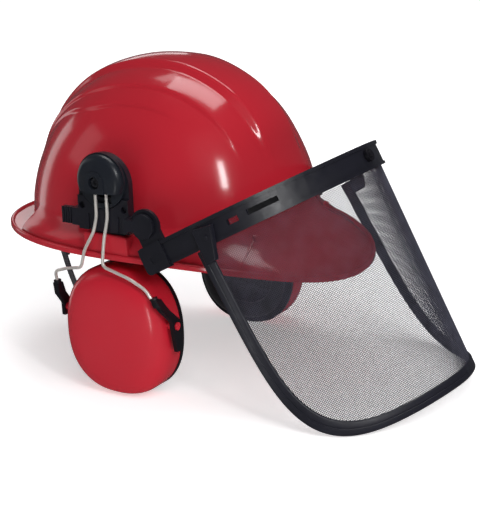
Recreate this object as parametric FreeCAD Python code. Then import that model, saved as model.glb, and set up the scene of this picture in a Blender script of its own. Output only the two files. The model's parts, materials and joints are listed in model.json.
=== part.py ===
import FreeCAD, Part
import math
import os

# Safety helmet with ear defenders and a mesh visor. Millimetres.
# +X is forward, +Y is the wearer's left, +Z is up.
# The origin is the middle of the head opening, level with the side brim.
# The right-hand parts are built at -Y, and the left-hand ones are their mirror image.

V = FreeCAD.Vector
X_AXIS = V(1, 0, 0)
Y_AXIS = V(0, 1, 0)
Z_AXIS = V(0, 0, 1)
ORIGIN = V(0, 0, 0)

# ---- shell ----
DOME_FRONT = 111.0
DOME_REAR = 121.0
DOME_HALF = 94.5
DOME_FOOT_Z = 4.0
CROWN_Z = 126.5
PLAN_POWER = 2.23
WALL = 2.8
RING_POINTS = 120
LOW_RINGS = 10
HIGH_RINGS = 30
INNER_RINGS = 16
CAP_T = 0.97
SKIRT_T = 0.0625
BRIM_FRONT = 160.0
BRIM_REAR = 143.0
BRIM_HALF = 107.5
BRIM_POWER = 2.2
PEAK_DROP = 18.0
LIP_RISE = 2.8
BRIM_UNDER = 1.8
SKIRT_END = math.radians(128)
# ridges: half width, rise, wall width, pull-in at the rear, front fade start, front fade end
RIDGES = (
    (58.0, 0.9, 8.0, 0.28, 20.0, 65.0),
    (44.5, 1.4, 8.0, 0.15, 66.0, 94.0),
    (22.0, 3.8, 10.0, 0.15, 84.0, 106.0),
)
RIDGE_LOW_Z = 45.0
RIDGE_FULL_Z = 85.0

SOCKET_X = (-15.0, 24.0)
SOCKET_OUT = 105.4
SOCKET_TOP = 16.4
TONGUE_X = (-10.0, 19.0)
TONGUE_Y = (98.5, 101.5)
LANYARD_HOLE = V(-95, 73.5, 0)
LANYARD_R = 1.9
LANYARD_LAND_R = 3.4
LANYARD_LAND_Z = 1.5

# ---- ear defender pivot ----
PIVOT_X = 4.0
PIVOT_Z = 56.5
BASE_BACK = 97.5
BASE_FACE = 102.6
BASE_R = 22.5
BASE_Z = 54.0
BASE_BOTTOM = 18.5
TURN_R = 20.6
TURN_GAP = 0.3
DOME_TIP = 113.2
TONGUE_R = 8.2
TONGUE_TIP = 114.0
FLAT_Z = 48.8
SCREW_R = 2.0
HINGE_Y = 106.6
HINGE_Z = 50.2
HINGE_R = 1.5
RUN_GAP = 0.05
WIRE_R = 1.2
WIRE_X = (-0.5, 9.3)
LIFT_SLOT = 11.5

# ---- cup ----
CUP_X = 8.8
CUP_Z = -58.0
CUP_HALF_W = 46.0
CUP_HALF_H = 50.2
CUP_POWER = 2.35
CUP_RIM = 84.0
CUSHION_FACE = 73.0
TRUNNION_Y = 98.0
TRUNNION_Z = -47.0
TRUNNION_R = 3.0
# distance out from the head, outline scale
CUP_STATIONS = ((84.0, 0.975), (91.0, 0.985), (98.0, 0.985), (103.5, 0.96),
                (107.6, 0.90), (110.6, 0.80), (112.7, 0.64), (113.9, 0.42), (114.3, 0.18))

# ---- visor ----
VISOR_X = 44.8
VISOR_Z = 29.4
VISOR_TILT = 28.4
BAND_HALF = 110.8
BAND_TIP = 123.4
BAND_BEND_X = 32.0
BAND_POWER = 1.6
BAND_THICK = 2.6
BAND_TOP = -13.7
BAND_BOTTOM = -32.4
BAND_END = -14.5
EAR_R = 12.0
PIN_R = 4.0
KEYHOLE_X = 62.0
KEYHOLE_Z = -23.2
SLOT_X = (71.0, 88.3)
SLOT_Z = (-24.6, -20.6)
SLOT_DEPTH = 1.6
MESH_TOP = -18.0
MESH_MID = -23.0
MESH_DEPTH = 176.5
MESH_THICK = 0.8
MESH_GAP = 0.3
MESH_SIDE_X = 29.3
FREE_HALF = 120.0
FREE_TIP = 117.0
FREE_BEND_X = 1.4
FREE_POWER = 1.74
FREE_SIDE_X = 38.0
CORNER_POWER = 5.4
EDGING_WIDTH = 9.0
EDGING_THICK = 3.4
CLIP_FACE = 114.4

# ---- harness ----
HEAD_A = 98.0
HEAD_B = 78.0
HEAD_THICK = 2.0
BAND_LOW = 1.0
NAPE_LOW = -28.0
KNOB_Z = -19.0
KNOB_SHAFT_R = 4.0
# clip places round the shell, in degrees from the front
CLIP_ANGLES = (38.0, 100.0, 142.0)
STRAP_TOP = 92.0


def spow(value, power):
    return math.copysign(abs(value) ** power, value)


def smooth(value):
    value = max(0.0, min(1.0, value))
    return value * value * (3 - 2 * value)


def mix(a, b, share):
    return a + (b - a) * share


def box(x, y, z):
    """A box from three (low, high) pairs."""
    return Part.makeBox(x[1] - x[0], y[1] - y[0], z[1] - z[0], V(x[0], y[0], z[0]))


def rod(radius, start, end):
    """A round bar between two points."""
    way = end.sub(start)
    return Part.makeCylinder(radius, way.Length, start, way)


def closed_curve(points):
    """A smooth closed curve; even parameters let neighbouring rings share their knots."""
    curve = Part.BSplineCurve()
    steps = [float(i) for i in range(len(points) + 1)]
    curve.interpolate(Points=points, PeriodicFlag=True, Parameters=steps)
    return Part.Wire(curve.toShape())


def open_curve(points):
    curve = Part.BSplineCurve()
    curve.interpolate(Points=points, Parameters=[float(i) for i in range(len(points))])
    return curve.toShape()


def angles():
    return [2 * math.pi * i / RING_POINTS for i in range(RING_POINTS)]


# ------------------------------------------------------------------ shell

def ridge_rise(x, y, z):
    """How far the fore-and-aft ridges stand above the plain dome."""
    total = 0.0
    for half, rise, wall, pull, fade_from, fade_to in RIDGES:
        edge = half * (1 - pull * smooth((-x - 30) / 70))
        across = smooth((edge + wall / 2 - abs(y)) / wall)
        total += rise * across * (1 - smooth((x - fade_from) / (fade_to - fade_from)))
    return total * smooth((z - RIDGE_LOW_Z) / (RIDGE_FULL_Z - RIDGE_LOW_Z))


def dome_point(angle, t, inset):
    """A point of the dome: angle round it, t from the foot (0) to the crown (1)."""
    c = math.cos(angle)
    s = math.sin(angle)
    rise = t * math.pi / 2
    size = math.cos(rise) ** (0.96 - 0.05 * c * c)
    length = (DOME_FRONT if c > 0 else DOME_REAR) - inset
    height = CROWN_Z - inset - DOME_FOOT_Z
    x = length * spow(c, 2 / PLAN_POWER) * size
    y = (DOME_HALF - inset) * spow(s, 2 / PLAN_POWER) * size
    z = DOME_FOOT_Z + height * math.sin(rise)
    lift = ridge_rise(x, y, z)
    out = V(x / length ** 2, y / DOME_HALF ** 2, (z - DOME_FOOT_Z) / height ** 2)
    out.normalize()
    sideways = smooth((CAP_T - t) / 0.2)
    return V(x + out.x * lift * sideways, y + out.y * lift * sideways, z + mix(1, out.z, sideways) * lift)


def edge_z(angle):
    c = math.cos(angle)
    return -PEAK_DROP * c ** 2.6 if c > 0 else 0.0


def brim_point(angle, inset, above):
    """A point inset from the brim's edge and above its line."""
    c = math.cos(angle)
    s = math.sin(angle)
    length = (BRIM_FRONT if c > 0 else BRIM_REAR) - inset
    x = length * spow(c, 2 / BRIM_POWER)
    y = (BRIM_HALF - inset) * spow(s, 2 / BRIM_POWER)
    return V(x, y, edge_z(angle) + above)


def skirt_point(angle, share):
    """The outer skin between the dome's foot (share 0) and the lip (share 1)."""
    top = dome_point(angle, SKIRT_T, 0)
    foot = brim_point(angle, 3.4, 1.2)
    turn = abs(math.atan2(math.sin(angle), math.cos(angle)))
    flare = 1 - smooth((turn - SKIRT_END) / math.radians(4) + 0.5)
    front = max(0.0, math.cos(angle)) ** 2
    along = mix(mix(0.05, 0.56, flare), 0.18, front)
    height = mix(mix(1.2, 9.0, flare), 1.0, front)
    bend = V(mix(top.x, foot.x, along), mix(top.y, foot.y, along), height)
    a = (1 - share) ** 2
    b = 2 * share * (1 - share)
    c = share ** 2
    return top * a + bend * b + foot * c


def shell_skin():
    """The closed skin of the shell: dome, skirt, lip, underside and inside."""
    turn = angles()
    t_out = [mix(SKIRT_T, 0.45, i / LOW_RINGS) for i in range(LOW_RINGS)]
    t_out += [mix(0.45, CAP_T, i / (HIGH_RINGS - 1)) for i in range(HIGH_RINGS)]
    t_in = [mix(0.0, CAP_T, i / (INNER_RINGS - 1)) for i in range(INNER_RINGS)]
    outer = [closed_curve([dome_point(a, t, 0) for a in turn]) for t in t_out]
    inner = [closed_curve([dome_point(a, t, WALL) for a in turn]) for t in t_in]
    skirt = [outer[0]]
    skirt += [closed_curve([skirt_point(a, k / 5) for a in turn]) for k in range(1, 6)]
    lip = [skirt[-1]]
    for inset, above in ((2.4, LIP_RISE), (0.8, LIP_RISE), (0.0, LIP_RISE - 0.8),
                         (0.0, -1.0), (0.8, -BRIM_UNDER), (4.0, -BRIM_UNDER)):
        lip.append(closed_curve([brim_point(a, inset, above) for a in turn]))
    below = []
    for a in turn:
        p = dome_point(a, 0, WALL)
        below.append(V(p.x, p.y, -BRIM_UNDER))
    lip.append(closed_curve(below))
    lip.append(inner[0])
    faces = []
    for part in (Part.makeLoft(outer, False, False), Part.makeLoft(skirt, False, False),
                 Part.makeLoft(lip, False, True), Part.makeLoft(inner, False, False)):
        faces += part.Faces
    faces.append(Part.Face(outer[-1]))
    faces.append(Part.Face(inner[-1]))
    shell = Part.makeShell(faces)
    shell.sewShape()
    solid = Part.Solid(shell)
    if solid.Volume < 0:
        solid.reverse()
    return solid


def side_socket():
    """The raised housing on the right of the shell that takes an adapter's tongue."""
    block = box(SOCKET_X, (-SOCKET_OUT, -92.0), (-1.0, SOCKET_TOP))
    outer = [e for e in block.Edges if e.BoundBox.YMax < -SOCKET_OUT + 0.1 and e.BoundBox.ZMax > 1]
    return block.makeFillet(1.6, outer)


def socket_slot():
    gap = 0.15
    return box((TONGUE_X[0] - gap, TONGUE_X[1] + gap), (-TONGUE_Y[1] - gap, -TONGUE_Y[0] + gap), (-4, 30))


def front_lug():
    """One of the two small upright lugs where the dome meets the peak."""
    lug = box((94.0, 104.5), (-54.0, -49.5), (-4.0, 15.0))
    lug.rotate(V(99, -52, 0), Z_AXIS, -32)
    return lug


def clip_boss(angle):
    """The block inside the shell's wall that a strap clip pushes into."""
    return place_clip(box((-4.2, 1.2), (-10.5, 10.5), (-BRIM_UNDER, 10.5)), angle)


def clip_pocket(angle):
    """The pocket in that block, open from below."""
    return place_clip(box((-3.0, -0.6), (-8.2, 8.2), (-6.0, 9.0)), angle)


def build_shell():
    extra = []
    for part in (side_socket(), front_lug()):
        extra += [part, part.mirror(ORIGIN, Y_AXIS)]
    for angle in CLIP_ANGLES:
        extra += [clip_boss(angle), clip_boss(-angle)]
    shell = shell_skin().fuse(extra)
    cuts = [socket_slot(), socket_slot().mirror(ORIGIN, Y_AXIS)]
    for side in (-1, 1):
        at = V(LANYARD_HOLE.x, side * LANYARD_HOLE.y, -8)
        cuts.append(Part.makeCylinder(LANYARD_R, 20, at))
        cuts.append(Part.makeCylinder(LANYARD_LAND_R, 9, V(at.x, at.y, LANYARD_LAND_Z)))
        cuts += [clip_pocket(side * a) for a in CLIP_ANGLES]
    return shell.cut(cuts).Solids[0]


# ---------------------------------------------------------------- harness

def wall_place(angle):
    """The foot of the shell's inside wall and its outward heading, at an angle from the front."""
    turn = math.radians(angle)
    here = dome_point(turn, 0, WALL)
    ahead = dome_point(turn + 0.01, 0, WALL)
    along = ahead.sub(here)
    return V(here.x, here.y, 0), math.degrees(math.atan2(-along.x, along.y))


def place_clip(shape, angle):
    """Move a shape whose +X points out through the inside wall to its place round the shell."""
    here, heading = wall_place(angle)
    shape.rotate(ORIGIN, Z_AXIS, heading)
    shape.translate(here)
    return shape


def strap_clip(angle):
    """A hook that grips the shell's rim, carries a crown strap and holds the headband."""
    blade = box((-2.8, -0.8), (-8, 8), (-4.4, 8.8))
    bridge = box((-7.6, -0.8), (-8, 8), (-4.4, -2.0))
    inner = box((-7.6, -5.6), (-10, 10), (-4.4, 24))
    window = box((-9, -4), (-7, 7), (13, 17))
    clip = blade.fuse([bridge, inner]).cut(window)
    clip = clip.removeSplitter()
    return place_clip(clip, angle)


def strap_end(angle):
    here, heading = wall_place(angle)
    way = math.radians(heading)
    return V(here.x - 10 * math.cos(way), here.y - 10 * math.sin(way), 10)


def crown_strap(start_angle, end_angle, top, width=20, thick=1.2):
    """One webbing strap arched over the head between two clips."""
    a = strap_end(start_angle)
    b = strap_end(end_angle)
    middle = (a + b) * 0.5
    half = a.sub(b).Length / 2
    way = b.sub(a)
    way.normalize()
    steps = 24

    def arch(inset):
        points = []
        for i in range(steps + 1):
            turn = math.pi * i / steps
            flat = spow(math.cos(turn), 0.9) * (half - inset)
            high = (top - inset - a.z) * abs(math.sin(turn)) ** 0.9
            points.append(middle - way * flat + V(0, 0, high))
        return points

    outer = arch(0)
    inner = arch(thick)
    edges = [open_curve(outer), open_curve(inner)]
    edges.append(Part.makeLine(outer[0], inner[0]))
    edges.append(Part.makeLine(outer[-1], inner[-1]))
    face = Part.Face(Part.Wire(Part.__sortEdges__(edges)))
    across = way.cross(Z_AXIS) * width
    strap = face.extrude(across)
    strap.translate(across * -0.5)
    return strap


def head_loop(a, b, low, high):
    """A solid oval disc as tall as low to high, with half axes a and b."""
    wire = closed_curve([V(a * math.cos(t), b * math.sin(t), low) for t in angles()[::3]])
    return Part.Face(wire).extrude(V(0, 0, high - low))


def head_ring(a, b, thick, low, high):
    return head_loop(a, b, low, high).cut(head_loop(a - thick, b - thick, low - 1, high + 1))


def headband():
    """The band round the head, with a drop at the nape for the ratchet."""
    band = head_ring(HEAD_A, HEAD_B, HEAD_THICK, BAND_LOW, BAND_LOW + 22)
    tail = head_ring(HEAD_A, HEAD_B, HEAD_THICK, NAPE_LOW, BAND_LOW + 6)
    tail = tail.common(box((-120, -82), (-90, 90), (-40, 20)))
    band = band.fuse(tail)
    slots = [box((-110, -82), (y - 1.5, y + 1.5), (-25, -15)) for y in (-35.5, 35.5)]
    return band.cut(slots).removeSplitter()


def sweatband():
    pad = head_ring(HEAD_A - HEAD_THICK - 0.05, HEAD_B - HEAD_THICK - 0.05, 3.0, BAND_LOW - 1, BAND_LOW + 21)
    return pad.common(box((10, 120), (-90, 90), (-20, 40)))


def nape_housing():
    """The flat case at the nape that the ratchet knob turns in."""
    case = box((-106.0, -98.3), (-30, 30), (NAPE_LOW, NAPE_LOW + 18))
    upright = [e for e in case.Edges if abs(e.BoundBox.ZLength - 18) < 0.1]
    case = case.makeFillet(3, upright)
    case = case.cut(box((-104.2, -97), (-27.5, 27.5), (NAPE_LOW + 1.6, NAPE_LOW + 16.4)))
    case = case.cut(rod(KNOB_SHAFT_R + RUN_GAP, V(-110, 0, KNOB_Z), V(-95, 0, KNOB_Z)))
    return case.cut(head_loop(HEAD_A + 0.02, HEAD_B + 0.02, -40, 0))


def nape_knob():
    """The ratchet knob with its toothed pinion inside the case."""
    knob = rod(12.5, V(-106.4, 0, KNOB_Z), V(-113.4, 0, KNOB_Z))
    for i in range(12):
        turn = math.radians(30 * i)
        at = V(0, 13.2 * math.cos(turn), 13.2 * math.sin(turn) + KNOB_Z)
        knob = knob.cut(rod(1.9, V(-106, at.y, at.z), V(-114, at.y, at.z)))
    shaft = rod(KNOB_SHAFT_R, V(-106.6, 0, KNOB_Z), V(-103.6, 0, KNOB_Z))
    points = []
    for i in range(36):
        radius = 6.6 if i % 3 == 0 else 5.0
        turn = math.radians(10 * i)
        points.append(V(-103.8, radius * math.cos(turn), radius * math.sin(turn) + KNOB_Z))
    points.append(points[0])
    pinion = Part.Face(Part.makePolygon(points)).extrude(V(2.6, 0, 0))
    return knob.fuse([shaft, pinion])


def nape_pad():
    pad = head_ring(HEAD_A - HEAD_THICK - 0.05, HEAD_B - HEAD_THICK - 0.05, 4.0, NAPE_LOW - 1, -13)
    return pad.common(box((-120, -84), (-34, 34), (-40, 0)))


# ------------------------------------------------------------- chin strap

CHIN_X = -70.0
CHIN_HALF = 66.0
CHIN_TOP = -4.4
CHIN_LOW = -84.0
CHIN_WIDE = 5.0
CHIN_THICK = 1.6


def chin_curve(inset):
    points = []
    for i in range(25):
        share = -1 + 2 * i / 24
        depth = CHIN_TOP - CHIN_LOW - inset
        z = CHIN_TOP - depth * (1 - abs(share) ** 3)
        points.append(V(CHIN_X - CHIN_WIDE / 2, share * (CHIN_HALF - inset), z))
    return points


def chin_strap():
    """A narrow elastic strap hanging in a loop from its two anchors."""
    outer = chin_curve(0)
    inner = chin_curve(CHIN_THICK)
    edges = [open_curve(outer), open_curve(inner)]
    edges.append(Part.makeLine(outer[0], inner[0]))
    edges.append(Part.makeLine(outer[-1], inner[-1]))
    face = Part.Face(Part.Wire(Part.__sortEdges__(edges)))
    return face.extrude(V(CHIN_WIDE, 0, 0))


def chin_slider():
    """The small buckle that sets the strap's length, low on the right."""
    body = box((CHIN_X - 5, CHIN_X + 5), (-6, 6), (CHIN_LOW - 1.6, CHIN_LOW + 3.4))
    body = body.makeFillet(1.0, body.Edges)
    return body.cut(chin_strap())


def chin_anchor():
    """The hook that hangs the right end of the strap from the shell's rim."""
    strap_hold = box((CHIN_X - 5, CHIN_X + 5), (-CHIN_HALF - 2.2, -CHIN_HALF + 3.6), (CHIN_TOP, CHIN_TOP + 2.6))
    arm = box((CHIN_X - 5, CHIN_X + 5), (-82, -CHIN_HALF), (CHIN_TOP, CHIN_TOP + 2.6))
    return arm.fuse(strap_hold).removeSplitter()


# ---------------------------------------------------- ear defender bracket

def adapter_base():
    """The plate pushed into the shell's socket; it carries the pivot and the visor bar."""
    top = rod(BASE_R, V(PIVOT_X, -BASE_BACK, BASE_Z), V(PIVOT_X, -BASE_FACE, BASE_Z))
    sides = (PIVOT_X - BASE_R, PIVOT_X + BASE_R)
    plate = top.fuse(box(sides, (-BASE_FACE, -BASE_BACK), (BASE_BOTTOM, BASE_Z)))
    lower = box(sides, (-104.6, -BASE_FACE), (BASE_BOTTOM, 44))
    lower = lower.cut(rod(TURN_R + 0.6, V(PIVOT_X, -BASE_FACE, PIVOT_Z), V(PIVOT_X, -110, PIVOT_Z)))
    collar = box((-25, -18), (-104.6, -BASE_BACK), (20.5, 33.5))
    tongue = box(TONGUE_X, (-TONGUE_Y[1], -TONGUE_Y[0]), (2.0, BASE_BOTTOM + 1))
    body = plate.fuse([lower, collar, tongue]).removeSplitter()
    cuts = [box((-40, 40), (-102.4, -98.6), (22.2, 31.8))]
    for x in (-14.9, 22.6):
        cuts.append(rod(2.6, V(x, -101.6, 36.6), V(x, -106, 36.6)))
    for x in (-8.4, 8.0):
        cuts.append(box((x - 1.1, x + 1.1), (-106, -103.2), (BASE_BOTTOM - 1, 31)))
    cuts.append(box((17, 19), (-106, -103.6), (BASE_BOTTOM - 1, 31)))
    pocket = rod(13.2, V(PIVOT_X, -98.4, PIVOT_Z), V(PIVOT_X, -104, PIVOT_Z))
    hub = rod(3.0, V(PIVOT_X, -98, PIVOT_Z), V(PIVOT_X, -BASE_FACE, PIVOT_Z))
    cuts.append(pocket.cut(hub))
    cuts.append(rod(SCREW_R, V(PIVOT_X, -97.4, PIVOT_Z), V(PIVOT_X, -104, PIVOT_Z)))
    return body.cut(cuts)


def pivot_screw():
    """The screw the ear defender turns about."""
    shaft = rod(SCREW_R, V(PIVOT_X, -97.4, PIVOT_Z), V(PIVOT_X, -110, PIVOT_Z))
    head = rod(3.6, V(PIVOT_X, -109.9, PIVOT_Z), V(PIVOT_X, -112.2, PIVOT_Z))
    socket = rod(1.6, V(PIVOT_X, -111.0, PIVOT_Z), V(PIVOT_X, -113, PIVOT_Z))
    return shaft.fuse(head).cut(socket)


def turntable():
    """The round boss that turns on the base and houses the rocker of the wires."""
    face = BASE_FACE + TURN_GAP
    disc = rod(TURN_R, V(PIVOT_X, -face, PIVOT_Z), V(PIVOT_X, -105.2, PIVOT_Z))
    profile = [V(0, 0, 105.0), V(19.6, 0, 105.0), V(19.4, 0, 107.0), V(18.0, 0, 109.2), V(15.4, 0, 110.9)]
    edges = [Part.makeLine(profile[0], profile[1]), open_curve(profile[1:]),
             Part.makeLine(profile[-1], V(7.5, 0, DOME_TIP)), Part.makeLine(V(7.5, 0, DOME_TIP), V(0, 0, DOME_TIP)),
             Part.makeLine(V(0, 0, DOME_TIP), profile[0])]
    cap = Part.Face(Part.Wire(edges)).revolve(ORIGIN, Z_AXIS, 360)
    if cap.Volume < 0:
        cap.reverse()
    cap.rotate(ORIGIN, X_AXIS, 90)
    cap.translate(V(PIVOT_X, 0, PIVOT_Z))
    cap = cap.cut(box((-30, 40), (-120, -105.2), (20, FLAT_Z)))
    tongue = rod(TONGUE_R, V(PIVOT_X, -110, PIVOT_Z), V(PIVOT_X, -TONGUE_TIP, PIVOT_Z))
    tongue = tongue.fuse(box((PIVOT_X - TONGUE_R, PIVOT_X + TONGUE_R), (-TONGUE_TIP, -110), (FLAT_Z, PIVOT_Z)))
    body = disc.fuse([cap, tongue])
    middle = (WIRE_X[0] + WIRE_X[1]) / 2
    room = box((middle - 7.9, middle + 7.9), (-110.6, -102), (FLAT_Z - 3, HINGE_Z + 3.6))
    slots = [box((x - 1.9, x + 1.9), (-110.6, -102), (HINGE_Z, 64.6)) for x in WIRE_X]
    mouth = box((middle - 7.9, middle + 7.9), (-110.6, -102), (34, FLAT_Z)).cut(box((-30, 40), (-105.2, -100), (0, 40)))
    sink = rod(4.6, V(PIVOT_X, -109.5, PIVOT_Z), V(PIVOT_X, -114, PIVOT_Z))
    bore = rod(SCREW_R + RUN_GAP, V(PIVOT_X, -100, PIVOT_Z), V(PIVOT_X, -114, PIVOT_Z))
    pin = rod(HINGE_R + RUN_GAP, V(middle - 11, -HINGE_Y, HINGE_Z), V(middle + 11, -HINGE_Y, HINGE_Z))
    return body.cut([room, mouth, sink, bore, pin] + slots)


def rocker():
    """The block that holds both wires and lets them swing out from the head."""
    middle = (WIRE_X[0] + WIRE_X[1]) / 2
    block = box((middle - 7.5, middle + 7.5), (-HINGE_Y - 2.4, -HINGE_Y + 2.4), (HINGE_Z - 2.4, HINGE_Z + 2.4))
    pin = rod(HINGE_R, V(middle - 10.6, -HINGE_Y, HINGE_Z), V(middle + 10.6, -HINGE_Y, HINGE_Z))
    body = block.fuse(pin)
    return body.cut([rod(WIRE_R + RUN_GAP, V(x, -HINGE_Y, 40), V(x, -HINGE_Y, 60)) for x in WIRE_X])


def bent_wire(corners, bend):
    """A round wire along straight runs with rounded corners."""
    edges = []
    last = corners[0]
    for i in range(1, len(corners) - 1):
        here = corners[i]
        back = corners[i - 1].sub(here)
        ahead = corners[i + 1].sub(here)
        reach = min(bend, back.Length * 0.45, ahead.Length * 0.45)
        back.normalize()
        ahead.normalize()
        start = here + back * reach
        end = here + ahead * reach
        away = (back + ahead)
        away.normalize()
        half = back.getAngle(ahead) / 2
        sag = reach / math.cos(half) - reach * math.tan(half)
        edges.append(Part.makeLine(last, start))
        edges.append(Part.Arc(start, here + away * sag, end).toShape())
        last = end
    edges.append(Part.makeLine(last, corners[-1]))
    path = Part.Wire(edges)
    way = corners[1].sub(corners[0])
    circle = Part.Wire(Part.makeCircle(WIRE_R, corners[0], way))
    return path.makePipeShell([circle], True, True)


def wire_rear():
    x = WIRE_X[0]
    return bent_wire([V(x, -HINGE_Y, HINGE_Z + LIFT_SLOT), V(x, -HINGE_Y, 30), V(-1.6, -109.5, 19),
                      V(-10.5, -110.5, 4), V(-15, -109.5, -10), V(-33, -104, -14.5),
                      V(-48, -100, -20), V(-46.6, -98.6, -33)], 4)


def wire_front():
    x = WIRE_X[1]
    return bent_wire([V(x, -HINGE_Y, HINGE_Z + LIFT_SLOT), V(x, -HINGE_Y, 30), V(7.6, -110, 14),
                      V(6.2, -112, -5.5), V(29, -111, -12), V(41.6, -109.0, -19.1), V(49.4, -108.1, -30.2)], 4)


def arm_plate(stations):
    """A flat arm lofted through rectangles: centre, thickness along X, width across it."""
    wires = []
    for centre, thick, wide in stations:
        corners = [V(thick / 2, -wide / 2, 0), V(thick / 2, wide / 2, 0),
                   V(-thick / 2, wide / 2, 0), V(-thick / 2, -wide / 2, 0)]
        corners = [centre + c for c in corners]
        wires.append(Part.makePolygon(corners + [corners[0]]))
    return Part.makeLoft(wires, True, True)


def trunnion_bore():
    return rod(TRUNNION_R + RUN_GAP, V(-80, -TRUNNION_Y, TRUNNION_Z), V(90, -TRUNNION_Y, TRUNNION_Z))


def yoke_front():
    arm = arm_plate([(V(49.3, -108.3, -25.3), 5.8, 6.0), (V(54.8, -105.7, -34.0), 5.0, 7.0),
                     (V(58.6, -98.9, -42.6), 3.0, 9.5), (V(59.2, -98, -52), 3.0, 9.0), (V(58.8, -96, -67), 3.0, 5.0)])
    sleeve = rod(2.9, V(48.0, -108.5, -24.2), V(50.3, -107.8, -31.0))
    return arm.fuse(sleeve).cut([trunnion_bore(), wire_front()])


def yoke_rear():
    arm = arm_plate([(V(-46.9, -98.8, -29), 5.0, 6.0), (V(-45.4, -98.4, -37), 4.6, 8.0),
                     (V(-40.4, -98, -43), 3.0, 9.0), (V(-40.4, -98, -53), 3.0, 8.0)])
    sleeve = rod(2.9, V(-47.2, -99.0, -27), V(-46.2, -98.5, -35))
    return arm.fuse(sleeve).cut([trunnion_bore(), wire_rear()])


# -------------------------------------------------------------------- cup

def cup_outline(y, scale, inset=0.0):
    points = []
    for turn in angles()[::2]:
        x = (CUP_HALF_W * scale - inset) * spow(math.cos(turn), 2 / CUP_POWER)
        z = (CUP_HALF_H * scale - inset) * spow(math.sin(turn), 2 / CUP_POWER)
        points.append(V(CUP_X + x, -y, CUP_Z + z))
    return closed_curve(points)


def cup():
    """The deep sound-proof cup, open to the head, with its two pivot bosses."""
    outer = Part.makeLoft([cup_outline(y, k) for y, k in CUP_STATIONS], True, False)
    inner = Part.makeLoft([cup_outline(y - 3.0, k, 3.0) for y, k in CUP_STATIONS[:-1]], True, False)
    front = rod(TRUNNION_R, V(CUP_X + 38, -TRUNNION_Y, TRUNNION_Z), V(61.2, -TRUNNION_Y, TRUNNION_Z))
    rear = rod(TRUNNION_R, V(CUP_X - 38, -TRUNNION_Y, TRUNNION_Z), V(-42.6, -TRUNNION_Y, TRUNNION_Z))
    return outer.fuse([front, rear]).cut(inner)


def cup_plate(outer, inner, low, high):
    """A flat oval ring facing the head."""
    disc = Part.Face(cup_outline(low, outer)).extrude(V(0, low - high, 0))
    hole = Part.Face(cup_outline(low - 1, inner)).extrude(V(0, low - high - 2, 0))
    return disc.cut(hole)


def cup_rim():
    return cup_plate(0.985, 0.70, 80.4, CUP_RIM)


def cushion():
    """The soft ring that seals against the head."""
    ring = cup_plate(0.90, 0.60, CUSHION_FACE, 80.4)
    edges = [e for e in ring.Edges if e.BoundBox.YMin > -CUSHION_FACE - 0.5]
    return ring.makeFillet(3.0, edges)


def cup_foam():
    return Part.Face(cup_outline(88, 0.80)).extrude(V(0, -10, 0))


# ------------------------------------------------------------------ visor

def to_visor(shape):
    """Place a shape built in the visor's own frame: pivot at its origin, band level."""
    shape.rotate(ORIGIN, Y_AXIS, -VISOR_TILT)
    shape.translate(V(VISOR_X, 0, VISOR_Z))
    return shape


def slide_bar():
    """The bar that slides through the adapter and ends in the visor's pivot disc."""
    bar = box((-33, 32.2), (-102.1, -98.9), (22.5, 31.5))
    tab = box((-34.6, -26.4), (-104.0, -98.9), (20.8, 33.2))
    grooves = [box((x - 0.6, x + 0.6), (-105, -103.0), (20, 34)) for x in (-32.4, -30.2, -28.0)]
    post = box((28.6, 32.2), (-114.2, -98.9), (23.0, 33.0))
    neck = box((28.6, VISOR_X), (-114.2, -111.1), (24.4, 33.0))
    disc = rod(9.0, V(VISOR_X, -111.1, VISOR_Z), V(VISOR_X, -114.2, VISOR_Z))
    body = bar.fuse([tab, post, neck, disc]).removeSplitter()
    return body.cut(grooves).cut(rod(PIN_R, V(VISOR_X, -110, VISOR_Z), V(VISOR_X, -113.2, VISOR_Z)))


def visor_pin():
    """The headed pin the visor's ear turns on."""
    shaft = rod(PIN_R, V(VISOR_X, -107.4, VISOR_Z), V(VISOR_X, -113.2, VISOR_Z))
    head = rod(6.5, V(VISOR_X, -106.2, VISOR_Z), V(VISOR_X, -107.8, VISOR_Z))
    return shaft.fuse(head)


def plan_curve(bend_x, tip, half, power, side_x, count=41):
    """Evenly spaced plan points from the right side edge round the front to the left."""
    rough = []
    steps = 240
    if side_x < bend_x:
        rough.append((side_x, -half))
    for i in range(steps + 1):
        turn = -math.pi / 2 + math.pi * i / steps
        x = bend_x + (tip - bend_x) * abs(math.cos(turn)) ** (2 / power)
        if x >= side_x:
            rough.append((x, half * spow(math.sin(turn), 2 / power)))
    if side_x < bend_x:
        rough.append((side_x, half))
    lengths = [0.0]
    for a, b in zip(rough, rough[1:]):
        lengths.append(lengths[-1] + math.hypot(b[0] - a[0], b[1] - a[1]))
    points = []
    j = 0
    for i in range(count):
        want = lengths[-1] * i / (count - 1)
        while j < len(lengths) - 2 and lengths[j + 1] < want:
            j += 1
        span = lengths[j + 1] - lengths[j]
        share = (want - lengths[j]) / span if span else 0.0
        points.append((mix(rough[j][0], rough[j + 1][0], share), mix(rough[j][1], rough[j + 1][1], share)))
    return points


def band_rail(grow, low, high):
    """A strip that follows the band: from its own face to grow outside it."""
    wires = []
    for half_gap in (grow, -BAND_THICK):
        side = BAND_HALF + half_gap
        rough = plan_curve(BAND_BEND_X, BAND_TIP + half_gap, side, BAND_POWER, BAND_BEND_X)
        wires.append([V(x, y, low) for x, y in rough])
    outer, inner = wires
    ends = []
    for points in wires:
        ends.append((V(BAND_END, points[0].y, low), V(BAND_END, points[-1].y, low)))
    edges = [open_curve(outer), open_curve(inner)]
    for points, (right, left) in zip(wires, ends):
        edges.append(Part.makeLine(right, points[0]))
        edges.append(Part.makeLine(left, points[-1]))
    edges.append(Part.makeLine(ends[0][0], ends[1][0]))
    edges.append(Part.makeLine(ends[0][1], ends[1][1]))
    return Part.Face(Part.Wire(Part.__sortEdges__(edges))).extrude(V(0, 0, high - low))


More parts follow.
